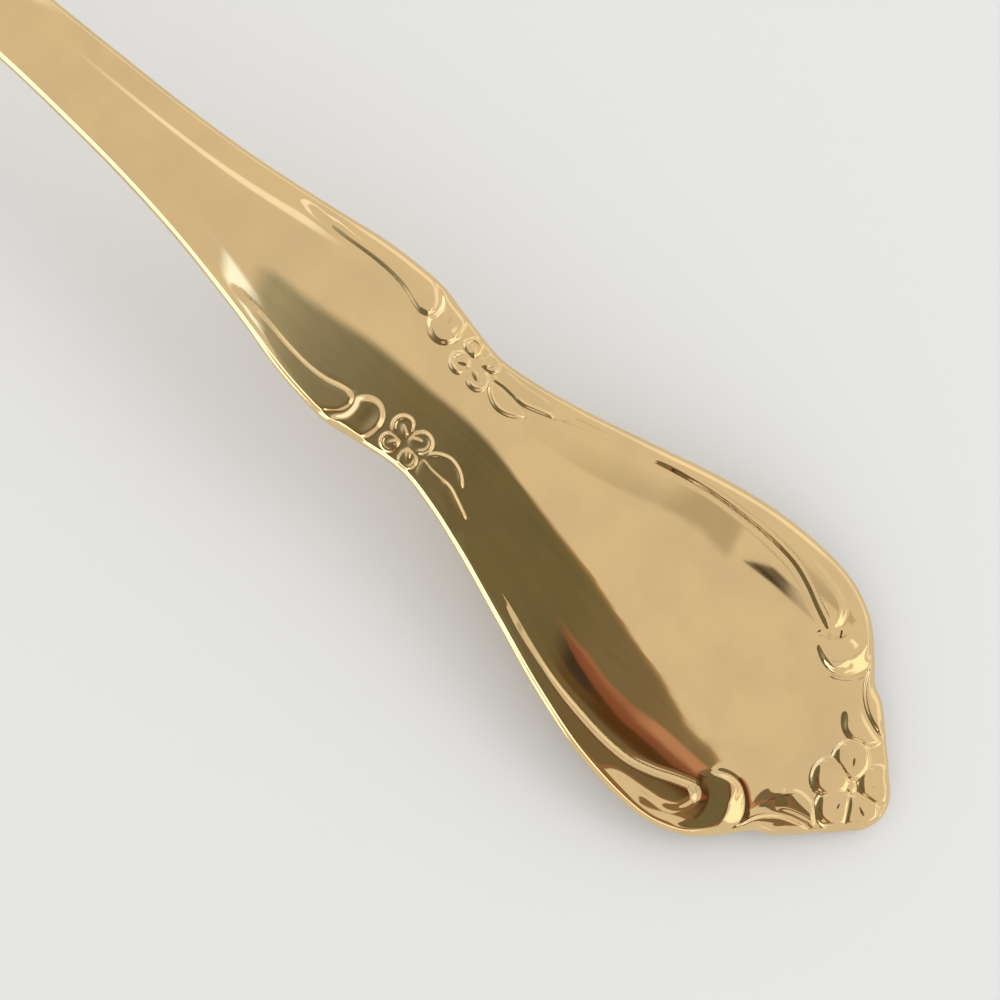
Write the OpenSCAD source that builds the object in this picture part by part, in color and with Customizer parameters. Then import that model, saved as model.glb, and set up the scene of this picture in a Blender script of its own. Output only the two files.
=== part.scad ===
// Teaspoon with a crowned panel handle, struck from one blank and gold plated.
// It lies face up on a table: bowl towards -X, handle tip towards +X, table at Z = 0.
// Places along the handle are measured from the tip as shares of the handle length.
// Places across it are shares of the half width at that place, so ornament follows the outline.

/* [Overall] */
// length from the bowl tip to the handle tip
overall_length = 155; // [140:1:175]
// highest point of the handle arch above the table
arch_height = 15.2; // [13:0.2:19]

/* [Bowl] */
// bowl length from its root at the neck to its tip
bowl_length = 52; // [46:1:58]
// widest part of the bowl
bowl_width = 33; // [28:1:38]
// depth of the hollow below the rim
bowl_depth = 7.4; // [6:0.2:9]
// metal thickness of the bowl, measured upright
bowl_wall = 1.2; // [0.9:0.1:1.8]
// how far the bowl rim climbs towards the neck
root_rise = 1.9; // [1:0.1:3]
// how far the bowl rim falls towards the bowl tip
tip_fall = 0.6; // [0:0.1:1.2]

/* [Handle plan] */
// widest part of the handle end
end_width = 21; // [18:0.5:24]
// narrowest part between the end panel and the shoulder
waist_width = 9.4; // [8:0.2:11]
// widest part of the shoulder
shoulder_width = 11.1; // [9.5:0.1:13]
// width of the slim stem
stem_width = 4.7; // [4:0.1:6]

/* [Handle section] */
// metal thickness at the middle of the handle end
end_thickness = 1.7; // [1.4:0.1:2.4]
// metal thickness at the shoulder
shoulder_thickness = 2; // [1.6:0.1:2.8]
// metal thickness of the stem
stem_thickness = 2.4; // [2:0.1:3.2]
// metal thickness where the neck meets the bowl
neck_thickness = 2.8; // [2.2:0.1:3.6]
// metal thickness at the handle's edges
edge_thickness = 0.9; // [0.7:0.1:1.2]
// rounding of the underside towards the edges
edge_round = 0.3; // [0.1:0.05:0.4]
// radius of the crown across the end panel
end_crown_radius = 92; // [70:2:130]
// radius of the crown across the shoulder
shoulder_crown_radius = 28; // [22:1:40]
// radius of the crown across the stem
stem_crown_radius = 6.5; // [5:0.5:10]

/* [Relief] */
// height of the raised rims above the panel
rim_relief = 0.6; // [0.3:0.05:0.9]
// height of the rolled scrolls above the panel
scroll_relief = 0.6; // [0.3:0.05:0.9]
// height of the leaves above the panel
leaf_relief = 0.42; // [0.2:0.02:0.7]
// height of the blossoms above the panel
blossom_relief = 0.45; // [0.2:0.05:0.7]
// upright edge of every raised form
relief_edge = 0.08; // [0.05:0.01:0.15]

/* [Hidden] */

gold = "#d9ba87";
relief_gold = "#cfae78";

handle_length = overall_length - bowl_length;
end_half = end_width / 2;
waist_half = waist_width / 2;
shoulder_half = shoulder_width / 2;
stem_half = stem_width / 2;
bowl_half = bowl_width / 2;
rim_height = bowl_depth + bowl_wall;

// joints between the body forms, as shares of the handle length from the tip
panel_end_share = 0.32;
waist_end_share = 0.49;
stem_end_share = 0.87;
// the stretch at the very tip whose rows lie closer together
tip_rows_share = 0.028;

// outline of the handle end: place along the handle, share of the end half width
end_outline_shares = [[0, 0.03], [0.004, 0.13], [0.012, 0.21], [0.019, 0.28], [0.029, 0.37],
    [0.039, 0.465], [0.048, 0.54], [0.058, 0.59], [0.068, 0.695], [0.078, 0.8], [0.089, 0.89],
    [0.112, 0.98], [0.14, 1], [0.179, 0.965], [0.223, 0.86], [0.268, 0.715], [0.313, 0.57],
    [0.345, 0.485]];
// outline from the shoulder down to the stem: place along the handle, share of the shoulder half width
shoulder_outline_shares = [[0.402, 0.93], [0.424, 1], [0.447, 0.98], [0.469, 0.925], [0.491, 0.836],
    [0.514, 0.753], [0.559, 0.616], [0.604, 0.526]];
waist_place_share = 0.371;
// outline of the stem and the neck: place along the handle, share of the stem half width
stem_outline_shares = [[0.648, 1.12], [0.693, 1.03], [0.777, 0.98], [0.874, 1], [0.945, 1.07], [1, 1.4]];
// outline of the bowl: place along the bowl from its root, share of the bowl half width
bowl_outline_shares = [[0.04, 0.36], [0.1, 0.6], [0.2, 0.84], [0.33, 0.975], [0.45, 1], [0.58, 0.965],
    [0.72, 0.85], [0.83, 0.68], [0.91, 0.5], [0.96, 0.34], [0.99, 0.17], [1, 0.035]];
half_widths = concat(
    [for (p = end_outline_shares) [p[0] * handle_length, p[1] * end_half]],
    [[waist_place_share * handle_length, waist_half]],
    [for (p = shoulder_outline_shares) [p[0] * handle_length, p[1] * shoulder_half]],
    [for (p = stem_outline_shares) [p[0] * handle_length, p[1] * stem_half]],
    [for (p = bowl_outline_shares) [handle_length + p[0] * bowl_length, p[1] * bowl_half]]);

// side view of the top line: place along the handle, share of the arch height
arch_shares = [[0.117, 0.27], [0.243, 0.487], [0.388, 0.73], [0.534, 0.914], [0.68, 1], [0.825, 0.954]];
heel_share = 0.29;
heel_rise_share = 0.22;
level_share = 0.5;
top_line = concat(
    [[0, end_thickness]],
    [for (p = arch_shares) [p[0] * handle_length, p[1] * arch_height]],
    [[handle_length, rim_height + root_rise],
     [handle_length + heel_share * bowl_length, rim_height + heel_rise_share * root_rise],
     [handle_length + level_share * bowl_length, rim_height],
     [overall_length, rim_height - tip_fall]]);

// metal thickness along the middle and along the edge
thickness_shares = [0, 0.2, 0.4, 0.7, 1];
heel_thin_share = 0.3;
middle_metal = [[thickness_shares[0], end_thickness],
    [thickness_shares[1] * handle_length, end_thickness],
    [thickness_shares[2] * handle_length, shoulder_thickness],
    [thickness_shares[3] * handle_length, stem_thickness],
    [thickness_shares[4] * handle_length, neck_thickness],
    [handle_length + heel_thin_share * bowl_length, bowl_wall],
    [overall_length, bowl_wall]];
edge_metal = [[0, edge_thickness],
    [stem_end_share * handle_length, edge_thickness],
    [handle_length, bowl_wall],
    [overall_length, bowl_wall]];
heel_half_share = 0.27;

// how strongly the top is crowned across: one over the crown radius, fading to nothing in the bowl
crown_shares = [0, 0.2, 0.37, 0.46, 0.7, 0.9, 1];
crown_end_share = 0.06;
crown_fade_share = 0.3;
crown_curve = [[crown_shares[0], 1 / end_crown_radius],
    [crown_shares[1] * handle_length, 1 / end_crown_radius],
    [crown_shares[2] * handle_length, 1 / shoulder_crown_radius],
    [crown_shares[3] * handle_length, 1 / shoulder_crown_radius],
    [crown_shares[4] * handle_length, 1 / stem_crown_radius],
    [crown_shares[5] * handle_length, 1 / stem_crown_radius],
    [crown_shares[6] * handle_length, crown_fade_share / stem_crown_radius],
    [handle_length + crown_end_share * bowl_length, 0],
    [overall_length, 0]];

// shape of the hollow: how full it is, and how soon it begins behind the root
hollow_power = 1.2;
hollow_start_share = 0.1;
// how near the edge the rounding of the underside stays
edge_round_power = 8;

// fineness of the surfaces
across_steps = 8;
bowl_across_steps = 10;
bowl_steps = 38;
neck_steps = 12;
stem_steps = 28;
waist_steps = 18;
panel_steps = 32;
tip_steps = 7;
relief_across_steps = 6;
rim_finer = 3;
scroll_finer = 2;
leaf_finer = 2;
petal_points = 10;

// smooth curve through points given as place and value, never beyond the values of its neighbours
function secant(p, i) = (p[i + 1][1] - p[i][1]) / (p[i + 1][0] - p[i][0]);
function slope(p, i) =
    i == 0 ? secant(p, 0) :
    i == len(p) - 1 ? secant(p, i - 1) :
    let (a = secant(p, i - 1), b = secant(p, i)) a * b <= 0 ? 0 : 2 * a * b / (a + b);
function span(p, x) = max([for (i = [0 : len(p) - 2]) if (i == 0 || p[i][0] <= x) i]);
function bend(a, b, ma, mb, d, t) =
    a * (1 + 2 * t) * (1 - t) * (1 - t) + ma * d * t * (1 - t) * (1 - t)
    + b * t * t * (3 - 2 * t) - mb * d * t * t * (1 - t);
function curve(p, x) =
    let (i = span(p, x), d = p[i + 1][0] - p[i][0])
    bend(p[i][1], p[i + 1][1], slope(p, i), slope(p, i + 1), d, (x - p[i][0]) / d);
function ease(t) = let (c = min(1, max(0, t))) c * c * (3 - 2 * c);

// the spoon's surfaces, from the place along it and the place across it
function half_width(s) = curve(half_widths, s);
function fullness(s, y) =
    let (w = half_width(s), r = 1 - (w * w - y * y) / (bowl_half * bowl_half))
    1 - pow(max(0, r), hollow_power);
function hollow(s, y) =
    s <= handle_length ? 0 :
    bowl_depth * fullness(s, y) * ease((s - handle_length) / (hollow_start_share * bowl_length));
function free_top_z(s, y) = curve(top_line, s) - y * y * curve(crown_curve, s) / 2 - hollow(s, y);
function metal(s, y) =
    let (w = half_width(s), heel = min(w, heel_half_share * bowl_half), u = min(1, abs(y) / heel))
    curve(edge_metal, s) + (curve(middle_metal, s) - curve(edge_metal, s)) * (1 - u * u)
    - (s < handle_length ? edge_round * pow(abs(y) / w, edge_round_power) : 0);
bowl_places = [for (i = [0 : bowl_steps])
    handle_length + bowl_length * (1 - cos(180 * i / bowl_steps)) / 2];
rest_lift = -min([for (s = bowl_places) free_top_z(s, 0) - metal(s, 0)]);
function top_z(s, y) = free_top_z(s, y) + rest_lift;
function top_point(s, y) = [overall_length / 2 - s, y, top_z(s, y)];
function under_point(s, y) = [overall_length / 2 - s, y, top_z(s, y) - metal(s, y)];

// a solid between an upper and a lower grid of points
function grid_faces(n, m) =
    let (k = n * m) concat(
    [for (i = [0 : n - 2], j = [0 : m - 2]) each
        let (a = i * m + j, b = a + m)
        [[a, b, b + 1], [a, b + 1, a + 1], [k + a, k + b + 1, k + b], [k + a, k + a + 1, k + b + 1]]],
    [for (i = [0 : n - 2]) each
        let (a = i * m, b = a + m, c = a + m - 1, d = c + m)
        [[a, k + a, k + b], [a, k + b, b], [c, d, k + d], [c, k + d, k + c]]],
    [for (j = [0 : m - 2]) each
        let (a = j, c = (n - 1) * m + j)
        [[a, a + 1, k + a + 1], [a, k + a + 1, k + a], [c, k + c, k + c + 1], [c, k + c + 1, c + 1]]]);
module slab(upper, lower) {
    n = len(upper);
    m = len(upper[0]);
    points = concat([for (row = upper) each row], [for (row = lower) each row]);
    polyhedron(points = points, faces = grid_faces(n, m), convexity = 6);
}

// a length of the body through rows at the given places, with points closer together at its edges
function across(w, steps) = [for (j = [-steps : steps]) w * sin(90 * j / steps)];
module body(places, steps) {
    upper = [for (s = places) [for (y = across(half_width(s), steps)) top_point(s, y)]];
    lower = [for (s = places) [for (y = across(half_width(s), steps)) under_point(s, y)]];
    slab(upper, lower);
}
function places_between(from, to, n) = [for (i = [0 : n]) handle_length * (from + (to - from) * i / n)];

// a smooth line through points across the handle, each a place along it and a share of the half width
function blend(a, b, c, d, t) =
    b + (c - a) * t / 2 + (2 * a - 5 * b + 4 * c - d) * t * t / 2 + (3 * b - a - 3 * c + d) * t * t * t / 2;
function line_point(p, t) =
    let (n = len(p) - 1, i = min(n - 1, floor(t)),
        before = i == 0 ? 2 * p[0] - p[1] : p[i - 1],
        after = i == n - 1 ? 2 * p[n] - p[n - 1] : p[i + 2])
    blend(before, p[i], p[i + 1], after, t - i);

// a raised form between an inner and an outer line; it is low at its ends for the given shares of its length
function end_lift(t, caps) =
    let (e = min(1, t / caps[0], (1 - t) / caps[1])) sqrt(max(0, 1 - (1 - e) * (1 - e)));
module raised(inner, outer, relief, caps, finer) {
    spans = len(inner) - 1;
    function spot(i, j) =
        let (a = line_point(inner, i / finer), b = line_point(outer, i / finer),
            turn = 180 * j / relief_across_steps,
            q = a + (b - a) * (1 - cos(turn)) / 2,
            s = q[0] * handle_length,
            lift = end_lift(i / finer / spans, caps) * sin(turn))
        [s, min(1, q[1]) * half_width(s), relief_edge + (relief - relief_edge) * lift];
    rows = [for (i = [0 : spans * finer]) [for (j = [0 : relief_across_steps]) spot(i, j)]];
    upper = [for (row = rows) [for (p = row) top_point(p[0], p[1]) + [0, 0, p[2]]]];
    lower = [for (row = rows) [for (p = row) top_point(p[0], p[1])]];
    slab(upper, lower);
}

// a blossom: rings of points round a middle, petals as lobes of its outline
function ring_faces(rings, n) =
    let (k = rings * n + 1) concat(
    [for (j = [0 : n - 1]) each let (a = 1 + j, b = 1 + (j + 1) % n) [[0, b, a], [k, k + a, k + b]]],
    [for (i = [0 : rings - 2], j = [0 : n - 1]) each
        let (a = 1 + i * n + j, b = 1 + i * n + (j + 1) % n, c = a + n, d = b + n)
        [[a, b, d], [a, d, c], [k + a, k + d, k + b], [k + a, k + c, k + d]]],
    [for (j = [0 : n - 1]) each
        let (a = 1 + (rings - 1) * n + j, b = 1 + (rings - 1) * n + (j + 1) % n)
        [[a, b, k + b], [a, k + b, k + a]]]);
function from_petal(angle, petals, turn) =
    let (step = 360 / petals, f = ((angle - turn) % step + step) % step) min(f, step - f);
function lobe(g, reach, radius) = reach * cos(g) + sqrt(max(0, radius * radius - pow(reach * sin(g), 2)));
function petal_near(g, reach, r) = sqrt(r * r + reach * reach - 2 * r * reach * cos(g));

// each petal is dished: full height at the edge of its dish, lower at its middle, falling away outside it
ring_shares = [0.2, 0.42, 0.62, 0.82, 1];
dish_share = 0.68;
dish_low_share = 0.55;
petal_foot_share = 1.15;
centre_share = 0.5;
function petal_lift(near) =
    near < dish_share ? dish_low_share + (1 - dish_low_share) * near / dish_share
    : max(0, (petal_foot_share - near) / (petal_foot_share - dish_share));
module blossom(place, y0, petals, turn, reach, radius) {
    n = petals * petal_points;
    function spot(share, j) =
        let (angle = 360 * j / n, g = from_petal(angle, petals, turn), r = share * lobe(g, reach, radius),
            lift = share == 1 ? 0 : petal_lift(petal_near(g, reach, r) / radius))
        [place - r * cos(angle), y0 + r * sin(angle), relief_edge + (blossom_relief - relief_edge) * lift];
    flat = concat([[place, y0, relief_edge + (blossom_relief - relief_edge) * centre_share]],
        [for (share = ring_shares) each [for (j = [0 : n - 1]) spot(share, j)]]);
    upper = [for (p = flat) top_point(p[0], p[1]) + [0, 0, p[2]]];
    lower = [for (p = flat) top_point(p[0], p[1])];
    polyhedron(points = concat(upper, lower), faces = ring_faces(len(ring_shares), n), convexity = 6);
}

// lines of the raised forms: place along the handle, share of the half width there
end_rim_inner_shares = [[0.099, 0.71], [0.1015, 0.68], [0.107, 0.66], [0.1165, 0.685], [0.131, 0.735],
    [0.15, 0.768], [0.175, 0.8], [0.204, 0.835], [0.233, 0.83], [0.262, 0.815], [0.291, 0.803],
    [0.32, 0.78]];
end_rim_outer_shares = [[0.099, 0.775], [0.1015, 0.83], [0.107, 0.875], [0.1165, 0.915],
    [0.131, 0.955], [0.15, 1], [0.175, 1], [0.204, 1], [0.233, 1], [0.262, 1], [0.291, 1], [0.32, 1]];
end_scroll_inner_shares = [[0.1175, 0.672], [0.109, 0.648], [0.103, 0.66], [0.0995, 0.68],
    [0.098, 0.715], [0.0978, 0.755], [0.0985, 0.8], [0.1015, 0.845], [0.1075, 0.89], [0.1175, 0.93],
    [0.132, 0.968]];
end_scroll_outer_shares = [[0.1155, 0.64], [0.108, 0.57], [0.099, 0.51], [0.088, 0.508],
    [0.0775, 0.63], [0.0725, 0.86], [0.0755, 1], [0.087, 1], [0.101, 1], [0.1165, 1], [0.132, 1]];
tip_inner_leaf_inner_shares = [[0.0315, 0.86], [0.035, 0.66], [0.0415, 0.475], [0.0495, 0.39],
    [0.058, 0.4], [0.066, 0.45], [0.0715, 0.53], [0.073, 0.635], [0.071, 0.78]];
tip_inner_leaf_outer_shares = [[0.032, 0.93], [0.0345, 0.82], [0.0395, 0.765], [0.0445, 0.74],
    [0.0505, 0.725], [0.0565, 0.745], [0.0615, 0.78], [0.0655, 0.83], [0.0675, 0.88]];
tip_outer_leaf_inner_shares = [[0.0345, 0.885], [0.039, 0.8], [0.0445, 0.775], [0.0515, 0.765],
    [0.058, 0.785], [0.063, 0.84], [0.066, 0.91]];
tip_outer_leaf_outer_shares = [[0.0335, 1], [0.037, 1], [0.0425, 1], [0.0495, 1], [0.0555, 1],
    [0.0605, 1], [0.065, 1]];
waist_inner_leaf_inner_shares = [[0.3375, 0.545], [0.341, 0.47], [0.347, 0.43], [0.353, 0.425],
    [0.359, 0.46], [0.3635, 0.545]];
waist_inner_leaf_outer_shares = [[0.338, 0.575], [0.343, 0.6], [0.349, 0.645], [0.355, 0.645],
    [0.36, 0.63], [0.3635, 0.6]];
waist_outer_leaf_inner_shares = [[0.3225, 0.735], [0.328, 0.74], [0.334, 0.715], [0.341, 0.685],
    [0.348, 0.69], [0.355, 0.69], [0.3615, 0.7]];
waist_outer_leaf_outer_shares = [[0.3225, 0.775], [0.328, 0.835], [0.334, 0.87], [0.341, 0.885],
    [0.348, 0.905], [0.355, 0.915], [0.3615, 0.89]];
stem_rim_inner_shares = [[0.4177, 0.665], [0.419, 0.62], [0.4225, 0.575], [0.429, 0.585],
    [0.437, 0.64], [0.449, 0.685], [0.466, 0.7], [0.485, 0.69], [0.505, 0.66], [0.535, 0.6],
    [0.583, 0.56], [0.631, 0.57], [0.69, 0.58], [0.777, 0.59], [0.835, 0.64], [0.893, 0.78]];
stem_rim_outer_shares = [[0.4177, 0.715], [0.419, 0.77], [0.4225, 0.86], [0.429, 0.97], [0.437, 1],
    [0.449, 1], [0.466, 1], [0.485, 1], [0.505, 1], [0.535, 1], [0.583, 1], [0.631, 1], [0.69, 1],
    [0.777, 1], [0.835, 1], [0.893, 1]];
shoulder_scroll_inner_shares = [[0.4105, 0.465], [0.4155, 0.53], [0.4172, 0.6], [0.4166, 0.68],
    [0.418, 0.765], [0.4212, 0.87], [0.426, 1]];
shoulder_scroll_outer_shares = [[0.4055, 0.475], [0.4, 0.55], [0.3975, 0.65], [0.3965, 0.75],
    [0.397, 0.84], [0.398, 0.92], [0.4, 1]];
rim_caps_share = [0.03, 0.2];
scroll_caps_share = [0.25, 0.3];
leaf_caps_share = [0.4, 0.4];
tip_centre_share = 0.0287;
tip_reach_share = 0.135;
tip_petal_share = 0.13;
waist_centre_share = 0.379;
waist_middle_share = 0.685;
waist_reach_share = 0.195;
waist_petal_share = 0.153;
tip_petals = 5;
tip_turn = 36;
waist_petals = 4;
waist_turn = 45;

module bowl() {
    color(gold) body(bowl_places, bowl_across_steps);
}
module neck() {
    color(gold) body(places_between(stem_end_share, 1, neck_steps), across_steps);
}
module stem() {
    color(gold) body(places_between(waist_end_share, stem_end_share, stem_steps), across_steps);
}
module waist() {
    color(gold) body(places_between(panel_end_share, waist_end_share, waist_steps), across_steps);
}
module handle_end() {
    tip_places = [for (i = [0 : tip_steps]) handle_length * tip_rows_share * pow(i / tip_steps, 2)];
    panel_places = places_between(tip_rows_share, panel_end_share, panel_steps);
    color(gold) body(concat(tip_places, [for (i = [1 : panel_steps]) panel_places[i]]), across_steps);
}

module end_rim() {
    color(relief_gold)
        raised(end_rim_inner_shares, end_rim_outer_shares, rim_relief, rim_caps_share, rim_finer);
}
module end_rim_left() { end_rim(); }
module end_rim_right() { mirror([0, 1, 0]) end_rim(); }
module stem_rim() {
    color(relief_gold)
        raised(stem_rim_inner_shares, stem_rim_outer_shares, rim_relief, rim_caps_share, rim_finer);
}
module stem_rim_left() { stem_rim(); }
module stem_rim_right() { mirror([0, 1, 0]) stem_rim(); }
module end_scroll() {
    color(relief_gold)
        raised(end_scroll_inner_shares, end_scroll_outer_shares, scroll_relief, scroll_caps_share,
            scroll_finer);
}
module end_scroll_left() { end_scroll(); }
module end_scroll_right() { mirror([0, 1, 0]) end_scroll(); }
module shoulder_scroll() {
    color(relief_gold)
        raised(shoulder_scroll_inner_shares, shoulder_scroll_outer_shares, scroll_relief, scroll_caps_share,
            scroll_finer);
}
module shoulder_scroll_left() { shoulder_scroll(); }
module shoulder_scroll_right() { mirror([0, 1, 0]) shoulder_scroll(); }
module waist_blossom() {
    place = waist_centre_share * handle_length;
    color(relief_gold) blossom(place, waist_middle_share * half_width(place), waist_petals, waist_turn,
        waist_reach_share * waist_half, waist_petal_share * waist_half);
}
module waist_blossom_left() { waist_blossom(); }
module waist_blossom_right() { mirror([0, 1, 0]) waist_blossom(); }
module waist_inner_leaf() {
    color(relief_gold)
        raised(waist_inner_leaf_inner_shares, waist_inner_leaf_outer_shares, leaf_relief, leaf_caps_share,
            leaf_finer);
}
module waist_inner_leaf_left() { waist_inner_leaf(); }
module waist_inner_leaf_right() { mirror([0, 1, 0]) waist_inner_leaf(); }
module waist_outer_leaf() {
    color(relief_gold)
        raised(waist_outer_leaf_inner_shares, waist_outer_leaf_outer_shares, leaf_relief, leaf_caps_share,
            leaf_finer);
}
module waist_outer_leaf_left() { waist_outer_leaf(); }
module waist_outer_leaf_right() { mirror([0, 1, 0]) waist_outer_leaf(); }
module tip_inner_leaf() {
    color(relief_gold)
        raised(tip_inner_leaf_inner_shares, tip_inner_leaf_outer_shares, leaf_relief, leaf_caps_share,
            leaf_finer);
}
module tip_inner_leaf_left() { tip_inner_leaf(); }
module tip_inner_leaf_right() { mirror([0, 1, 0]) tip_inner_leaf(); }
module tip_outer_leaf() {
    color(relief_gold)
        raised(tip_outer_leaf_inner_shares, tip_outer_leaf_outer_shares, leaf_relief, leaf_caps_share,
            leaf_finer);
}
module tip_outer_leaf_left() { tip_outer_leaf(); }
module tip_outer_leaf_right() { mirror([0, 1, 0]) tip_outer_leaf(); }
module tip_blossom() {
    color(relief_gold) blossom(tip_centre_share * handle_length, 0, tip_petals, tip_turn,
        tip_reach_share * end_half, tip_petal_share * end_half);
}

bowl();
neck();
stem();
waist();
handle_end();
stem_rim_left();
stem_rim_right();
end_rim_left();
end_rim_right();
shoulder_scroll_left();
shoulder_scroll_right();
end_scroll_left();
end_scroll_right();
waist_blossom_left();
waist_blossom_right();
waist_inner_leaf_left();
waist_inner_leaf_right();
waist_outer_leaf_left();
waist_outer_leaf_right();
tip_inner_leaf_left();
tip_inner_leaf_right();
tip_outer_leaf_left();
tip_outer_leaf_right();
tip_blossom();
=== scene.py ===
import math
from types import SimpleNamespace

import bpy
import numpy as np
from mathutils import Matrix, Vector


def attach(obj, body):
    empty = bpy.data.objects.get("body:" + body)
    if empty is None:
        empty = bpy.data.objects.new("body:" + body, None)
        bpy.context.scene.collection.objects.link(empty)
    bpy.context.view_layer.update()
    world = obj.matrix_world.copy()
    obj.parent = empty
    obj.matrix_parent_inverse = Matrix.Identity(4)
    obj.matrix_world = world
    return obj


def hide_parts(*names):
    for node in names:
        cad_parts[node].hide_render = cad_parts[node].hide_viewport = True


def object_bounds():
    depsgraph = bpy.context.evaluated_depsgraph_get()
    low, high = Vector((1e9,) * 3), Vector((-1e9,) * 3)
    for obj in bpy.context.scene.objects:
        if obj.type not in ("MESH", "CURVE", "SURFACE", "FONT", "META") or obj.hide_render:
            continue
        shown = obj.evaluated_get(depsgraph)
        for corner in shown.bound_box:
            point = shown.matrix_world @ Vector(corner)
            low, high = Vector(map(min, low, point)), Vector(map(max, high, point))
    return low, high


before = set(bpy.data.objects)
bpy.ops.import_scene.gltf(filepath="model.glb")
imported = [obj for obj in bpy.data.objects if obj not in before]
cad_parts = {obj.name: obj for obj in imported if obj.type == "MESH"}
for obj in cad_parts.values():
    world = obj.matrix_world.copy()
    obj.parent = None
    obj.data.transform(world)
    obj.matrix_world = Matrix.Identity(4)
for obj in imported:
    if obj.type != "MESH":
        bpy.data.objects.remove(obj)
CAD_BOX = [list(corner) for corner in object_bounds()]
CAD_LENGTH = CAD_BOX[1][0] - CAD_BOX[0][0]

bl_info = {
    "name": "Gold teaspoon",
    "version": (1, 0, 0),
    "blender": (4, 5, 0),
    "location": "View3D > Sidebar > Teaspoon",
    "description": "Makes the finished skin, ornament, gold and stage of a teaspoon round its CAD part",
    "category": "Object",
}

MILLIMETRES = 1000.0
SIDES = {"left": 1, "right": -1}


def length(name, description, default):
    """A property that holds a length in metres."""
    return bpy.props.FloatProperty(name=name, description=description, default=default,
                                   min=0.0, precision=5, unit="LENGTH")


def share(name, description, default, high=1.0):
    """A property that holds a share."""
    return bpy.props.FloatProperty(name=name, description=description, default=default,
                                   min=0.0, max=high, precision=3, subtype="FACTOR")


def colour(name, description, default):
    """A property that holds a colour."""
    return bpy.props.FloatVectorProperty(name=name, description=description, default=default,
                                         size=3, min=0.0, max=1.0, subtype="COLOR")


class TeaspoonBlank(bpy.types.PropertyGroup):
    """Sizes of the plain struck blank"""
    overall_length: length("Overall length", "From the bowl tip to the handle tip", CAD_LENGTH)
    arch_height: length("Arch height", "Highest point of the handle above the table", 0.0152)
    bowl_length: length("Bowl length", "From its root at the neck to its tip", 0.052)
    bowl_width: length("Bowl width", "Widest part of the bowl", 0.033)
    bowl_depth: length("Bowl depth", "Depth of the hollow below the rim", 0.0074)
    bowl_wall: length("Bowl wall", "Metal thickness of the bowl, measured upright", 0.0012)
    root_rise: length("Root rise", "How far the bowl rim climbs towards the neck", 0.0019)
    tip_fall: length("Tip fall", "How far the bowl rim falls towards the bowl tip", 0.0006)
    end_width: length("End width", "Widest part of the handle end", 0.021)
    waist_width: length("Waist width", "Narrowest part behind the end panel", 0.0094)
    shoulder_width: length("Shoulder width", "Widest part of the shoulder", 0.0111)
    stem_width: length("Stem width", "Width of the slim stem", 0.0047)
    end_thickness: length("End thickness", "Metal at the middle of the handle end", 0.0017)
    shoulder_thickness: length("Shoulder thickness", "Metal at the shoulder", 0.002)
    stem_thickness: length("Stem thickness", "Metal of the stem", 0.0024)
    neck_thickness: length("Neck thickness", "Metal where the neck meets the bowl", 0.0028)
    edge_thickness: length("Edge thickness", "Metal at the handle's edges", 0.0009)
    end_crown_radius: length("End crown", "Radius of the crown across the end panel", 0.092)
    shoulder_crown_radius: length("Shoulder crown", "Radius of the crown across the shoulder", 0.028)
    stem_crown_radius: length("Stem crown", "Radius of the crown across the stem", 0.0065)
    edge_radius: length("Edge radius", "Rounding of the handle's upper edge", 0.00007)
    under_radius: length("Under radius", "Rounding of the handle's lower edge", 0.0002)
    bowl_lip: length("Bowl lip", "Rounding of the bowl's edge", 0.00045)


class TeaspoonRelief(bpy.types.PropertyGroup):
    """Heights and softness of the pressed ornament"""
    rim_height: length("Rim height", "Height of the rims above the panel", 0.00014)
    scroll_height: length("Scroll height", "Height of the rolled scrolls above the panel", 0.00028)
    leaf_height: length("Leaf height", "Height of the leaves above the panel", 0.00022)
    petal_height: length("Petal height", "Height of the petals above the panel", 0.00024)
    crease_depth: length("Crease depth", "Depth of the crease beside a raised form", 0.00003)
    softness: length("Softness", "How far the struck edges are rounded over", 0.000045)
    bevel_width: length("Bevel width", "From the outline to where the edge starts to fall", 0.00028)


class TeaspoonFinish(bpy.types.PropertyGroup):
    """Colours and wear of the gold"""
    gold: colour("Gold", "Colour of the polished plating", (0.80, 0.58, 0.295))
    worn_gold: colour("Worn gold", "Colour of the plating where it is handled", (0.74, 0.54, 0.285))
    roughness: share("Roughness", "Roughness of the polish", 0.025)
    smudge: share("Smudge", "How much the smudges dull the polish", 0.02)
    scratches: share("Scratches", "Strength of the fine hairlines", 0.06)


class TeaspoonStage(bpy.types.PropertyGroup):
    """Floor, light and camera"""
    floor: colour("Floor", "Colour of the plain floor and of the backdrop", (0.80, 0.80, 0.79))
    lamp_power: bpy.props.FloatProperty(name="Lamp power", description="Power of the main soft lamp",
                                        default=1.2, min=0.0, unit="POWER")


def in_millimetres(group):
    """The lengths of a property group, in millimetres."""
    return SimpleNamespace(**{key: getattr(group, key) * MILLIMETRES for key in type(group).__annotations__})


# Lines and curves

def smooth_curve(points):
    """A smooth function through (place, value) points that never passes beyond its neighbours."""
    place, value = np.array(points, float).T
    secant = np.diff(value) / np.diff(place)
    before, after = secant[:-1], secant[1:]
    rising = before * after > 0
    middle = np.where(rising, 2 * before * after / np.where(rising, before + after, 1), 0)
    slope = np.concatenate([secant[:1], middle, secant[-1:]])

    def at(x):
        """The value at any place."""
        i = np.clip(np.searchsorted(place, x, side="right") - 1, 0, len(place) - 2)
        d = place[i + 1] - place[i]
        t = (x - place[i]) / d
        return (value[i] * (1 + 2 * t) * (1 - t) ** 2 + slope[i] * d * t * (1 - t) ** 2
                + value[i + 1] * t * t * (3 - 2 * t) - slope[i + 1] * d * t * t * (1 - t))
    return at


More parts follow.
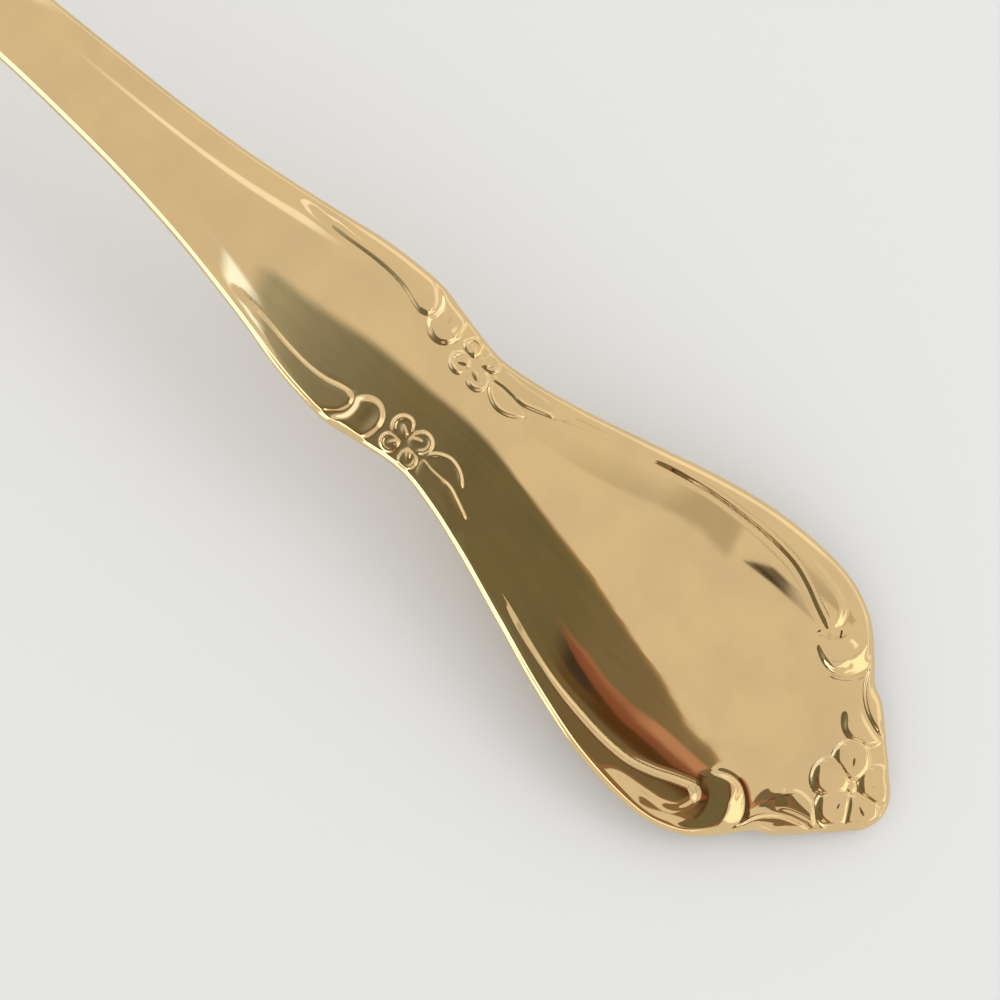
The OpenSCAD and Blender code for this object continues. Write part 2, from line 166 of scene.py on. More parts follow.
def ease(t):
    """Goes smoothly from 0 to 1 as t does."""
    c = np.clip(t, 0, 1)
    return c * c * (3 - 2 * c)


def fade(value, start, end):
    """Goes smoothly from 0 at the start to 1 at the end, whichever of the two is larger."""
    return ease((value - start) / (end - start))


def drawn_line(points, closed=False, finer=8):
    """A smooth line drawn through points, with so many finer points for each of them."""
    p = np.array(points, float)
    if closed:
        p = np.vstack([p[-1], p, p[0], p[1]])
    else:
        p = np.vstack([2 * p[0] - p[1], p, 2 * p[-1] - p[-2]])
    chord = np.sqrt(np.hypot(*np.diff(p, axis=0).T))
    t = np.concatenate([[0], np.cumsum(chord)])
    run = []
    for i in range(1, len(p) - 2):
        d = t[i + 1] - t[i]
        leaving = d * ((p[i] - p[i - 1]) / (t[i] - t[i - 1]) - (p[i + 1] - p[i - 1]) / (t[i + 1] - t[i - 1])
                       + (p[i + 1] - p[i]) / d)
        arriving = d * ((p[i + 1] - p[i]) / d - (p[i + 2] - p[i]) / (t[i + 2] - t[i])
                        + (p[i + 2] - p[i + 1]) / (t[i + 2] - t[i + 1]))
        u = (np.arange(finer) / finer)[:, None]
        run.append(p[i] * (1 + 2 * u) * (1 - u) ** 2 + leaving * u * (1 - u) ** 2
                   + p[i + 1] * u * u * (3 - 2 * u) - arriving * u * u * (1 - u))
    if not closed:
        run.append(p[-2][None])
    return np.vstack(run)


def distance_to(line, along, across):
    """Distance of each spot from a drawn line, and how far along it the nearest point is, from 0 to 1."""
    best = np.full(along.shape, np.inf)
    where = np.zeros(along.shape)
    steps = np.hypot(*np.diff(line, axis=0).T)
    run = np.concatenate([[0], np.cumsum(steps)])
    for a, b, start, step in zip(line[:-1], line[1:], run, steps):
        if step == 0:
            continue
        d = (b - a) / step
        t = np.clip((along - a[0]) * d[0] + (across - a[1]) * d[1], 0, step)
        away = np.hypot(along - a[0] - t * d[0], across - a[1] - t * d[1])
        nearer = away < best
        best = np.where(nearer, away, best)
        where = np.where(nearer, (start + t) / run[-1], where)
    return best, where


def inside(ring, along, across):
    """Which spots are inside a closed line."""
    odd = np.zeros(along.shape, bool)
    for a, b in zip(ring, np.roll(ring, -1, axis=0)):
        if a[1] == b[1]:
            continue
        crosses = (a[1] > across) != (b[1] > across)
        odd ^= crosses & (along < a[0] + (b[0] - a[0]) * (across - a[1]) / (b[1] - a[1]))
    return odd


def depth_inside(ring, along, across):
    """Distance from a closed line: more than 0 inside it, less than 0 outside."""
    away, _ = distance_to(np.vstack([ring, ring[:1]]), along, across)
    return np.where(inside(ring, along, across), away, -away)


def pillow(depth, height, shoulder):
    """A flat top that rolls down to nothing at its edge."""
    x = np.clip(depth / shoulder, 0, 1)
    return height * np.sqrt(1 - (1 - x) ** 2)


def worn_step(depth, width, swell):
    """A thin steep step at an edge and a low slope behind it, to a height of 1."""
    return (ease(depth / width) + np.clip(depth / swell, 0, 1)) / 2


def ridge(away, height, width):
    """A soft crest on a line."""
    return height * np.exp(-(away / width) ** 2)


# The plain blank

# An outline is pairs of shares: of the handle's or the bowl's length, and of half the width of that part.
END_OUTLINE_SHARES = [(0.004, 0.13), (0.012, 0.21), (0.019, 0.28), (0.029, 0.37), (0.039, 0.465),
                      (0.048, 0.54), (0.058, 0.59), (0.068, 0.695), (0.078, 0.8), (0.089, 0.89),
                      (0.112, 0.98), (0.14, 1), (0.179, 0.965), (0.223, 0.86), (0.268, 0.715),
                      (0.313, 0.57), (0.345, 0.485)]
WAIST_OUTLINE_SHARES = [(0.371, 1)]
SHOULDER_OUTLINE_SHARES = [(0.402, 0.93), (0.424, 1), (0.447, 0.98), (0.469, 0.925), (0.491, 0.836),
                           (0.514, 0.753), (0.559, 0.616), (0.604, 0.526)]
STEM_OUTLINE_SHARES = [(0.648, 1.12), (0.693, 1.03), (0.777, 0.98), (0.874, 1), (0.945, 1.07), (1, 1.4)]
BOWL_OUTLINE_SHARES = [(0.04, 0.36), (0.1, 0.6), (0.2, 0.84), (0.33, 0.975), (0.45, 1), (0.58, 0.965),
                       (0.72, 0.85), (0.83, 0.68), (0.91, 0.5), (0.96, 0.34), (0.99, 0.17)]
# The arch is shares of the handle's length and of the arch's height, and the root of the bowl's length and
# of its rise.
ARCH_SHARES = [(0.117, 0.27), (0.243, 0.487), (0.388, 0.73), (0.534, 0.914), (0.68, 1), (0.825, 0.954)]
ROOT_SHARES = [(0, 1), (0.29, 0.22), (0.5, 0)]
# Where each length of the body starts and ends, as shares of the handle.
BODY_SHARES = {"handle_end": (0, 0.32), "waist": (0.32, 0.49), "stem": (0.49, 0.87), "neck": (0.87, 1)}
# Where the metal has the thickness, and the crown the radius, of the end, the shoulder and the stem.
METAL_SHARES = [(0, 0.2), (0.4,), (0.7,)]
CROWN_SHARES = [(0, 0.2), (0.37, 0.46), (0.7, 0.9)]
BOWL_METAL_SHARE = 0.3
NECK_CROWN_SHARE = 0.3
FLAT_RIM_SHARE = 0.06
# How the bowl hollows: over what share of its length it starts, how round it is and how wide its heel is.
HOLLOW_START_SHARE = 0.1
HOLLOW_POWER = 1.2
HEEL_SHARE = 0.27
THINNEST_HEEL = 0.01
OUTLINE_FINENESS = 60
LIFT_PLACES = 200


class Blank:
    """The plain blank, in millimetres: places run from the handle tip, and across from the middle line."""

    def __init__(self, size):
        self.size = size
        self.handle = size.overall_length - size.bowl_length
        self.bowl_half = size.bowl_width / 2
        self.outline = self.draw_outline()
        rim, wall = size.bowl_depth + size.bowl_wall, size.bowl_wall
        self.top_line = self.curve(
            [(0, size.end_thickness)] + [(place, share * size.arch_height) for place, share in ARCH_SHARES],
            [(place, rim + share * size.root_rise) for place, share in ROOT_SHARES]
            + [(1, rim - size.tip_fall)])
        metals = (size.end_thickness, size.shoulder_thickness, size.stem_thickness)
        self.middle_metal = self.curve(
            [(place, metal) for places, metal in zip(METAL_SHARES, metals) for place in places],
            [(0, size.neck_thickness), (BOWL_METAL_SHARE, wall), (1, wall)])
        neck_start, _ = BODY_SHARES["neck"]
        self.edge_metal = self.curve([(0, size.edge_thickness), (neck_start, size.edge_thickness)],
                                     [(0, wall), (1, wall)])
        crowns = [1 / size.end_crown_radius, 1 / size.shoulder_crown_radius, 1 / size.stem_crown_radius]
        self.crown = self.curve(
            [(place, crown) for places, crown in zip(CROWN_SHARES, crowns) for place in places],
            [(0, NECK_CROWN_SHARE * crowns[-1]), (FLAT_RIM_SHARE, 0), (1, 0)])
        self.lift = 0.0
        bottom = np.linspace(self.handle, size.overall_length, LIFT_PLACES)
        self.lift = -np.min(self.under(bottom, 0 * bottom))

    def curve(self, on_handle, on_bowl):
        """A smooth curve through values at shares of the handle's length and then of the bowl's."""
        bowl = self.size.bowl_length
        return smooth_curve([(place * self.handle, value) for place, value in on_handle]
                            + [(self.handle + place * bowl, value) for place, value in on_bowl])

    def draw_outline(self):
        """The outline of the left half, drawn through its mirror too so that it is round at both tips."""
        size = self.size
        half = [(0, 0)]
        for shares, width in ((END_OUTLINE_SHARES, size.end_width), (WAIST_OUTLINE_SHARES, size.waist_width),
                              (SHOULDER_OUTLINE_SHARES, size.shoulder_width),
                              (STEM_OUTLINE_SHARES, size.stem_width)):
            half += [(place * self.handle, share * width / 2) for place, share in shares]
        half += [(self.handle + place * size.bowl_length, share * self.bowl_half)
                 for place, share in BOWL_OUTLINE_SHARES]
        p = np.array(half + [(size.overall_length, 0)])
        mirror = np.array([1, -1])
        whole = drawn_line(np.vstack([p[2:0:-1] * mirror, p, p[-2:-4:-1] * mirror]), finer=OUTLINE_FINENESS)
        outline = whole[2 * OUTLINE_FINENESS:-2 * OUTLINE_FINENESS]
        outline[0], outline[-1] = (0, 0), (size.overall_length, 0)
        return outline

    def half_width(self, s):
        """From the middle line to the outline at places along the spoon."""
        return np.interp(s, *self.outline.T)

    def hollow(self, s, y):
        """How deep the bowl is hollowed at each spot."""
        from_edge = (self.half_width(s) ** 2 - y * y) / self.bowl_half ** 2
        full = 1 - np.clip(1 - from_edge, 0, None) ** HOLLOW_POWER
        start = HOLLOW_START_SHARE * self.size.bowl_length
        return self.size.bowl_depth * full * fade(s, self.handle, self.handle + start)

    def top(self, s, y):
        """The height of the upper side."""
        return self.top_line(s) - y * y * self.crown(s) / 2 - self.hollow(s, y) + self.lift

    def under(self, s, y):
        """The height of the under side, thickest in the middle."""
        heel = np.minimum(np.maximum(self.half_width(s), THINNEST_HEEL), HEEL_SHARE * self.bowl_half)
        u = np.minimum(1, np.abs(y) / heel)
        edge = self.edge_metal(s)
        return self.top(s, y) - edge - (self.middle_metal(s) - edge) * (1 - u * u)


# The pressed ornament

# The forms are drawn on the left half, by places along from the tip and across from the middle line, in
# millimetres. A box holds a form's nearest and farthest place. A pair says where something starts to grow and
# where it is full: between two places along, or two distances from a line.
RASTER_STEP = 0.04
SIDE_ROOM = 1.0
END_ROOM = 41
LAST_CELL = 1.001
CREASE_WIDTH = 0.2

END_RIM_BOX = ((7, 3.5), (34, 11.5))
END_CREASE = [(33.4, 4.05), (32.6, 4.5), (31.5, 5.0), (30, 5.55), (27.5, 6.3), (25, 7.1), (22.5, 7.75),
              (20, 8.1), (17.5, 8.3), (15.4, 8.2), (13.8, 7.75), (12.4, 7.15), (11.5, 6.8), (10.9, 6.6)]
END_NOSE = [(10.9, 6.6), (10.45, 6.85), (10.2, 7.35), (10.3, 8.0), (10.75, 8.75), (11.6, 9.25), (13, 9.5),
            (15, 9.68), (17, 9.98), (20, 10.4), (22.5, 10.9)]
END_RIM_OUTSIDE = [(24, 12.5), (33.4, 12.5)]
END_RIM_LIMIT = 33.2
END_RIM_START = (33.3, 32.1)
END_RIM_GROWTH = (31, 23)
END_RIM_LOW_SHARE = 0.35
END_WALL_STEEP = 0.15
END_WALL_SOFTER = 0.6
END_WALL_SOFTENS = (22, 30)
END_WALL_SWELL = 0.42
NOSE_ROUNDS = (17, 13)
NOSE_NOTCH_SHARE = 0.75
NOSE_NOTCH_WIDTH = 0.7
SCROLL_BACK = [(10.9, 6.6), (11.2, 6.3), (11.45, 5.9), (11.1, 5.5), (10.5, 5.15), (9.6, 4.8), (8.8, 4.8),
               (8.1, 5.2), (7.5, 5.9), (7.25, 6.7), (7.2, 7.6), (7.4, 8.6), (7.7, 9.8), (8.4, 11.0),
               (10, 11.6)]
SCROLL_OUTSIDE = [(22.5, 13)]
SCROLL_WALL_SHARE = 0.72
SCROLL_GROOVE_SHARE = 0.8
SCROLL_GROOVE_WIDTH = 0.3
SCROLL_GROOVE_START = (10.9, 10.3)
SCROLL_ROLL = (0.55, 2.0)
SCROLL_START = (11.5, 9.5)
SCROLL_LOW_SHARE = 0.25
SCROLL_WALL = 0.34
SCROLL_WALL_FOOT = 0.04
SCROLL_SOFTER = 0.8
SCROLL_SOFT_STRETCHES = [(0.28, 0.13), (0.5, 0.7)]

STEM_RIM_BOX = ((42, 0.8), (93, 6.6))
SHOULDER_CREASE = [(43.6, 3.2), (44.3, 3.35), (45.2, 3.62), (46.4, 3.75), (48, 3.68), (50.5, 3.35), (54, 2.9),
                   (58, 2.35), (62, 2.0), (68, 1.72), (76, 1.5), (84, 1.5), (92, 1.75)]
SHOULDER_NOSE = [(43.6, 3.2), (43.15, 3.4), (43.0, 3.9), (43.2, 4.5), (43.8, 5.1), (44.8, 5.9)]
STEM_RIM_OUTSIDE = [(92, 6.6)]
STEM_RIM_LIMIT = 91.5
STEM_RIM_END = (91.5, 77.5)
STEM_RIM_FALL = (47.5, 55.5)
STEM_RIM_FALL_SHARE = 0.93
STEM_WALL_STEEP = 0.13
STEM_WALL_SOFTER = 0.9
STEM_WALL_SOFTENS = (49, 55)
STEM_WALL_SHARE = 0.65
STEM_SWELL_START = 0.3
STEM_SWELL_SHARE = 1.5
STEM_NOSE_WALL = (-0.05, 0.3)
STEM_GROOVE_END = (53.5, 50.5)

SHOULDER_SCROLL_BOX = ((40, 2), (44.6, 6.6))
SHOULDER_SCROLL = [(43.1, 3.3), (42.8, 2.85), (42.2, 2.5), (41.6, 2.5), (41.05, 2.9), (40.8, 3.5),
                   (40.85, 4.3), (41.2, 5.2), (42, 6.2), (43.9, 6.2), (43.5, 5.1), (43.0, 4.4), (42.95, 3.8)]
SHOULDER_SCROLL_SHARE = 0.7
SHOULDER_SCROLL_WALL = (-0.05, 0.4)
SHOULDER_DISH = 0.07
SHOULDER_DISH_PLACE = (41.7, 3.7)
SHOULDER_DISH_SIZE = (0.5, 0.95)

WAIST_LEAF_BOX = ((32.4, 1.6), (38.4, 5.2))
WAIST_INNER_LEAF = [(37.75, 3.05), (37.45, 2.65), (37.0, 2.3), (36.3, 2.08), (35.5, 2.25), (34.9, 2.65),
                    (34.6, 3.0), (35.3, 3.15), (36.1, 3.2), (37.0, 3.2)]
WAIST_OUTER_LEAF = [(37.6, 3.3), (36.8, 3.35), (36.0, 3.35), (35.2, 3.4), (34.4, 3.68), (33.6, 4.0),
                    (33.0, 4.25), (32.9, 4.7), (34, 4.75), (36, 4.4), (37.4, 4.2)]
WAIST_LEAVES = {"inner": (WAIST_INNER_LEAF, WAIST_INNER_LEAF[:7]),
                "outer": (WAIST_OUTER_LEAF, WAIST_OUTER_LEAF[2:7])}
WAIST_CREST = 0.42
WAIST_CREST_INSET = 0.12
WAIST_CREST_WIDTH = 0.11
WAIST_CREST_START = (0, 0.15)
WAIST_CREST_END = (1, 0.8)
WAIST_FACE = 0.3
WAIST_FACE_SHOULDER = 0.5
WAIST_FACE_GROWTH = (32.9, 34.4)

TIP_LEAF_BOX = ((2, 1.6), (8, 8.6))
TIP_OUTER_LEAF = [(7.05, 6.5), (6.75, 5.7), (6.2, 5.0), (5.5, 4.45), (4.6, 4.05), (3.7, 3.85), (3.1, 3.9),
                  (2.6, 4.6), (4.0, 6.0), (6.0, 7.6), (7.4, 8.0)]
TIP_OUTER_EDGE = TIP_OUTER_LEAF[:7]
TIP_LEAF_VEINS = [[(6.75, 6.5), (6.2, 5.7), (5.3, 4.95), (4.4, 4.5), (3.7, 4.3)],
                  [(6.6, 6.9), (5.8, 6.05), (5.0, 5.45), (4.3, 5.0)],
                  [(6.5, 5.9), (5.7, 5.1), (4.9, 4.6), (4.0, 4.2)]]
VEIN_HEIGHT = 0.011
VEIN_WIDTH = 0.09
OUTER_LEAF_TILT_SHARE = 0.9
OUTER_LEAF_TILT_WIDTH = 1.3
OUTER_LEAF_WALL = 0.22
TIP_INNER_LEAF = [(7.15, 5.7), (7.5, 4.7), (7.35, 3.8), (6.8, 3.05), (5.9, 2.4), (5.0, 2.2), (4.1, 2.35),
                  (3.5, 2.9), (3.25, 3.55), (4.0, 3.75), (5.0, 4.05), (5.8, 4.5), (6.5, 5.15)]
INNER_LEAF_HOLLOW = 0.04
INNER_LEAF_HOLLOW_PLACE = (6.4, 4.0)
INNER_LEAF_HOLLOW_SIZE = (0.8, 0.7)
INNER_LEAF_TILT_SHARE = 0.9
INNER_LEAF_TILT = (2.4, 5.4)
INNER_LEAF_WALL = 0.42
INNER_LEAF_SOFTER = 0.8
INNER_LEAF_SOFTENS = (5.6, 6.8)

WAIST_BLOSSOM_BOX = ((37, 1.6), (41, 5.2))
WAIST_PETALS = [(39.8, 2.68), (38.42, 2.68), (39.8, 3.92), (38.36, 3.92)]
WAIST_PETAL_RADIUS = 0.74
# Each petal's length and width as shares of the radius, and its turn in radians.
WAIST_PETAL_SHARES = [(1.0, 1.02, 0.2), (1.16, 1.0, -0.3), (0.88, 0.86, 0.1), (0.92, 0.86, -0.2)]
WAIST_PETAL_HEIGHT_SHARE = 0.8
WAIST_WIRE = 0.6
WAIST_WIRE_RADIUS = 0.8
WAIST_WIRE_WIDTH = 0.15
WAIST_WIRE_START = (-0.25, 0.25)
WAIST_DROP = 0.4
WAIST_DROP_PLACE = (-0.22, 0.03)
WAIST_DROP_SIZE = (0.42, 0.15)
WAIST_DROP_WIDTH = 0.8
WAIST_PETAL_FACE = 0.35
WAIST_PETAL_WALL = (1, 0.6)

TIP_BLOSSOM_BOX = ((0, -3.6), (6.6, 3.6))
TIP_PETALS = [(4.45, -0.4), (4.1, 1.35), (1.7, 1.3), (1.4, -0.85), (2.95, -1.75)]
TIP_PETAL_RADIUS = 1.38
TIP_PETAL_SHOULDER = 0.5
TIP_PETAL_FOOT_SHARE = 0.85
TIP_PETAL_RISE = (-1, 1)
TIP_DROP_SHARES = [0.5, 1.0, 0.9, 1.0, 0.8]
TIP_DROP = 0.18
TIP_DROP_SHIFT = 0.1
TIP_DROP_LENGTH = 0.42
TIP_DROP_WIDTHS = (0.11, 0.27)
TIP_DROP_WIDENS = (-0.6, 0.6)
TIP_CREASE = 0.16
TIP_CENTRE = (3.0, 0.0)
TIP_BUTTON = 0.5
TIP_BUTTON_RADIUS = 0.42
TIP_BUTTON_SHOULDER = 0.35
TIP_FOOT = -0.2

# How much of the handle's edge has rolled over, by places along, over what share of the half width, and the
# bevel at the outline.
EDGE_FALL = [(0, 0.06), (4, 0.1), (10, 0.15), (24, 0.16), (32, 0.08), (38, 0.06), (44, 0.1), (56, 0.08),
             (75, 0.0), (104, 0.0)]
FALL_WIDTH_SHARE = 0.132
THINNEST_FALL = 0.01
BEVEL_SLOPE = 0.64
BEVEL_LIMIT = 0.3
BEVEL_END = (4, 12)
FORMS_DIE_OUT = (0.1, 0.6)
FORMS_REACH_EDGE = (47, 53)
LEAN_STEP = 0.02


class Ornament:
    """The pressed relief as a map of heights over the plain blank, and the name of the form at each spot."""

    def __init__(self, blank, relief):
        self.blank, self.relief = blank, relief
        self.half = blank.size.end_width / 2 + SIDE_ROOM
        self.shape = (int(blank.handle / RASTER_STEP) + END_ROOM, int(2 * self.half / RASTER_STEP) + 1)
        self.height = np.zeros(self.shape)
        self.names = [""]
        self.label = np.zeros(self.shape, int)
        for side, sign in SIDES.items():
            self.end_rim(side, sign)
            self.stem_rim(side, sign)
            self.shoulder_scroll(side, sign)
            self.waist_leaves(side, sign)
            self.tip_leaves(side, sign)
        for side, sign in SIDES.items():
            self.waist_blossom(side, sign)
        self.tip_blossom()
        self.fade_at_outline()
        self.soften(relief.softness)
        self.slope_along, self.slope_across = np.gradient(self.height, RASTER_STEP)

    def window(self, box, sign=1):
        """The part of the map inside a box on one side, with its places along and across."""
        low, high = box
        i0, i1 = (int(np.clip(v / RASTER_STEP, 0, self.shape[0])) for v in (low[0], high[0]))
        a, b = sorted((sign * low[1], sign * high[1]))
        j0, j1 = (int(np.clip((v + self.half) / RASTER_STEP, 0, self.shape[1])) for v in (a, b))
        along, across = np.meshgrid(np.arange(i0, i1) * RASTER_STEP,
                                    np.arange(j0, j1) * RASTER_STEP - self.half, indexing="ij")
        return (slice(i0, i1), slice(j0, j1)), along, across * sign

    def press(self, name, part, height, covers):
        """Raises the map to a form's height where it covers, and names the spots it covers."""
        self.height[part] = np.where(covers, height, self.height[part])
        if name not in self.names:
            self.names.append(name)
        self.label[part] = np.where(covers, self.names.index(name), self.label[part])

    def engrave(self, part, depth, where):
        """Lowers the map by a depth at the spots that it covers."""
        self.height[part] = np.where(where, self.height[part] - depth, self.height[part])

    def end_rim(self, side, sign):
        """The rim along the end panel with its rounded nose, and the scroll that rolls round the nose."""
        part, along, across = self.window(END_RIM_BOX, sign)
        relief = self.relief
        crease, nose, back = (drawn_line(corners) for corners in (END_CREASE, END_NOSE, SCROLL_BACK))
        face = inside(np.vstack([crease, nose, END_RIM_OUTSIDE]), along, across)
        band = inside(np.vstack([nose[::-1], back, SCROLL_OUTSIDE]), along, across)
        from_crease, _ = distance_to(crease, along, across)
        from_nose, _ = distance_to(nose, along, across)
        from_back, round_back = distance_to(back[:int(len(back) * SCROLL_WALL_SHARE)], along, across)
        start = fade(along, *END_RIM_START)
        growth = END_RIM_LOW_SHARE + (1 - END_RIM_LOW_SHARE) * fade(along, *END_RIM_GROWTH)
        groove = growth * start * ridge(from_crease, 1, CREASE_WIDTH)
        groove += (SCROLL_GROOVE_SHARE * ridge(from_back, 1, SCROLL_GROOVE_WIDTH)
                   * fade(along, *SCROLL_GROOVE_START))
        on_spoon = across < self.blank.half_width(along)
        self.engrave(part, relief.crease_depth * groove, ~face & ~band & on_spoon)
        round_nose = fade(along, *NOSE_ROUNDS)
        notch = 1 - NOSE_NOTCH_SHARE * round_nose * (1 - ease(from_nose / NOSE_NOTCH_WIDTH))
        steep = END_WALL_STEEP + END_WALL_SOFTER * fade(along, *END_WALL_SOFTENS)
        wall = worn_step(from_crease, steep, END_WALL_SWELL)
        self.press("end_rim_" + side, part, start * relief.rim_height * growth * wall * notch,
                   face & (along < END_RIM_LIMIT))
        roll = fade(from_nose, *SCROLL_ROLL) * fade(along, *SCROLL_START)
        low = relief.rim_height * (1 - (1 - SCROLL_LOW_SHARE) * round_nose)
        level = low + (relief.scroll_height - low) * roll
        soft = sum(fade(round_back, *stretch) for stretch in SCROLL_SOFT_STRETCHES)
        wall = ease((from_back + SCROLL_WALL_FOOT) / (SCROLL_WALL + SCROLL_SOFTER * soft))
        self.press("end_scroll_" + side, part, level * wall, band)

    def from_outline(self, s, y):
        """How far each spot is inside the outline of the handle."""
        lean = (self.blank.half_width(s + LEAN_STEP) - self.blank.half_width(s - LEAN_STEP)) / (2 * LEAN_STEP)
        return (self.blank.half_width(s) - np.abs(y)) / np.sqrt(1 + lean ** 2)

    def fade_at_outline(self):
        """Lets the forms die out at the outline, but not along the stem."""
        along, across = np.meshgrid(np.arange(self.shape[0]) * RASTER_STEP,
                                    np.arange(self.shape[1]) * RASTER_STEP - self.half, indexing="ij")
        left = fade(self.from_outline(along, across), *FORMS_DIE_OUT)
        left += (1 - left) * fade(along, *FORMS_REACH_EDGE)
        self.height = np.where(self.height > 0, self.height * left, self.height)

    def edge_fall(self, s, y):
        """How far the surface has rolled over at a spot near the outline, where it ends in a narrow bevel."""
        to_edge = self.from_outline(s, y)
        rolled = FALL_WIDTH_SHARE * self.blank.half_width(s) + THINNEST_FALL
        roll = np.interp(s, *np.array(EDGE_FALL).T) * np.clip(1 - to_edge / rolled, 0, 1) ** 2
        soft, width = self.relief.softness, self.relief.bevel_width
        into = np.clip(width - to_edge, -soft, width + BEVEL_LIMIT)
        bevel = np.where(into < soft, (into + soft) ** 2 / (4 * soft), into)
        return roll + BEVEL_SLOPE * bevel * fade(self.blank.handle - s, *BEVEL_END)

    def stem_rim(self, side, sign):
        """The rim from the shoulder down the stem, with its rounded nose at the shoulder."""
        part, along, across = self.window(STEM_RIM_BOX, sign)
        relief = self.relief
        crease, nose = drawn_line(SHOULDER_CREASE), drawn_line(SHOULDER_NOSE)
        face = inside(np.vstack([nose[::-1], crease, STEM_RIM_OUTSIDE]), along, across)
        from_crease, _ = distance_to(crease, along, across)
        from_nose, _ = distance_to(nose, along, across)
        width = STEM_WALL_STEEP + STEM_WALL_SOFTER * fade(along, *STEM_WALL_SOFTENS)
        growth = (1 - STEM_RIM_FALL_SHARE * fade(along, *STEM_RIM_FALL)) * fade(along, *STEM_RIM_END)
        swell = ease(from_crease / (STEM_SWELL_START + STEM_SWELL_SHARE * width))
        rise = STEM_WALL_SHARE * ease(from_crease / width) + (1 - STEM_WALL_SHARE) * swell
        rise *= fade(from_nose, *STEM_NOSE_WALL)
        on_spoon = across < self.blank.half_width(along)
        groove = growth * ridge(from_crease, 1, CREASE_WIDTH) * fade(along, *STEM_GROOVE_END)
        self.engrave(part, relief.crease_depth * groove, ~face & on_spoon)
        self.press("stem_rim_" + side, part, relief.rim_height * growth * rise,
                   face & (along < STEM_RIM_LIMIT))

    def shoulder_scroll(self, side, sign):
        """The rolled scroll round the nose of the stem rim, with a shallow dish in it."""
        part, along, across = self.window(SHOULDER_SCROLL_BOX, sign)
        depth = depth_inside(drawn_line(SHOULDER_SCROLL, closed=True), along, across)
        dish = from_middle(along, across, SHOULDER_DISH_PLACE, SHOULDER_DISH_SIZE)
        height = (self.relief.scroll_height * SHOULDER_SCROLL_SHARE * fade(depth, *SHOULDER_SCROLL_WALL)
                  - ridge(dish, SHOULDER_DISH, 1))
        self.press("shoulder_scroll_" + side, part, height, depth > 0)

    def waist_leaves(self, side, sign):
        """Two leaves behind the waist blossom: each has a fine raised edge and a low face."""
        part, along, across = self.window(WAIST_LEAF_BOX, sign)
        for name, (ring, edge_line) in WAIST_LEAVES.items():
            depth = depth_inside(drawn_line(ring, closed=True), along, across)
            from_edge, run = distance_to(drawn_line(edge_line), along, across)
            crest = ridge(from_edge - WAIST_CREST_INSET, WAIST_CREST, WAIST_CREST_WIDTH)
            crest *= fade(run, *WAIST_CREST_START) * fade(run, *WAIST_CREST_END)
            face = pillow(depth, WAIST_FACE, WAIST_FACE_SHOULDER) * fade(along, *WAIST_FACE_GROWTH)
            self.press("waist_%s_leaf_%s" % (name, side), part,
                       self.relief.leaf_height * (face + crest * (depth > 0)), depth > 0)

    def tip_leaves(self, side, sign):
        """An outer leaf with curved veins and an inner leaf with a hollow, between scroll and tip blossom."""
        part, along, across = self.window(TIP_LEAF_BOX, sign)
        full = self.relief.leaf_height
        depth = depth_inside(drawn_line(TIP_OUTER_LEAF, closed=True), along, across)
        from_veins = [distance_to(drawn_line(vein), along, across)[0] for vein in TIP_LEAF_VEINS]
        veins = sum(ridge(away, VEIN_HEIGHT, VEIN_WIDTH) for away in from_veins)
        from_edge, _ = distance_to(drawn_line(TIP_OUTER_EDGE), along, across)
        tilt = 1 - OUTER_LEAF_TILT_SHARE * np.clip(from_edge / OUTER_LEAF_TILT_WIDTH, 0, 1)
        height = (full * tilt + veins) * ease(from_edge / OUTER_LEAF_WALL)
        self.press("tip_outer_leaf_" + side, part, height, depth > 0)
        depth = depth_inside(drawn_line(TIP_INNER_LEAF, closed=True), along, across)
        dish = from_middle(along, across, INNER_LEAF_HOLLOW_PLACE, INNER_LEAF_HOLLOW_SIZE)
        tilt = 1 - INNER_LEAF_TILT_SHARE * fade(across, *INNER_LEAF_TILT)
        wall = ease(depth / (INNER_LEAF_WALL + INNER_LEAF_SOFTER * fade(along, *INNER_LEAF_SOFTENS)))
        height = (full * tilt - ridge(dish, INNER_LEAF_HOLLOW, 1)) * wall
        self.press("tip_inner_leaf_" + side, part, height, depth > 0)

    def waist_blossom(self, side, sign):
        """Four small petals with raised edges and a drop in each."""
        part, along, across = self.window(WAIST_BLOSSOM_BOX, sign)
        middle = np.mean(WAIST_PETALS, axis=0)
        height = np.full(along.shape, -1.0)
        for spot, (long_share, wide_share, turn) in zip(WAIST_PETALS, WAIST_PETAL_SHARES):
            out, beside = petal_axes(spot, middle, along, across, turn)
            r = np.hypot(out / long_share, beside / wide_share) / WAIST_PETAL_RADIUS
            wire = ridge(r - WAIST_WIRE_RADIUS, WAIST_WIRE, WAIST_WIRE_WIDTH) * fade(out, *WAIST_WIRE_START)
            drop = ridge(from_middle(out, beside, WAIST_DROP_PLACE, WAIST_DROP_SIZE), WAIST_DROP,
                         WAIST_DROP_WIDTH)
            petal = WAIST_PETAL_FACE * fade(r, *WAIST_PETAL_WALL) + wire + drop
            height = np.maximum(height, np.where(r < 1, petal, -1))
        full = self.relief.petal_height * WAIST_PETAL_HEIGHT_SHARE
        self.press("waist_blossom_" + side, part, full * height, height >= 0)

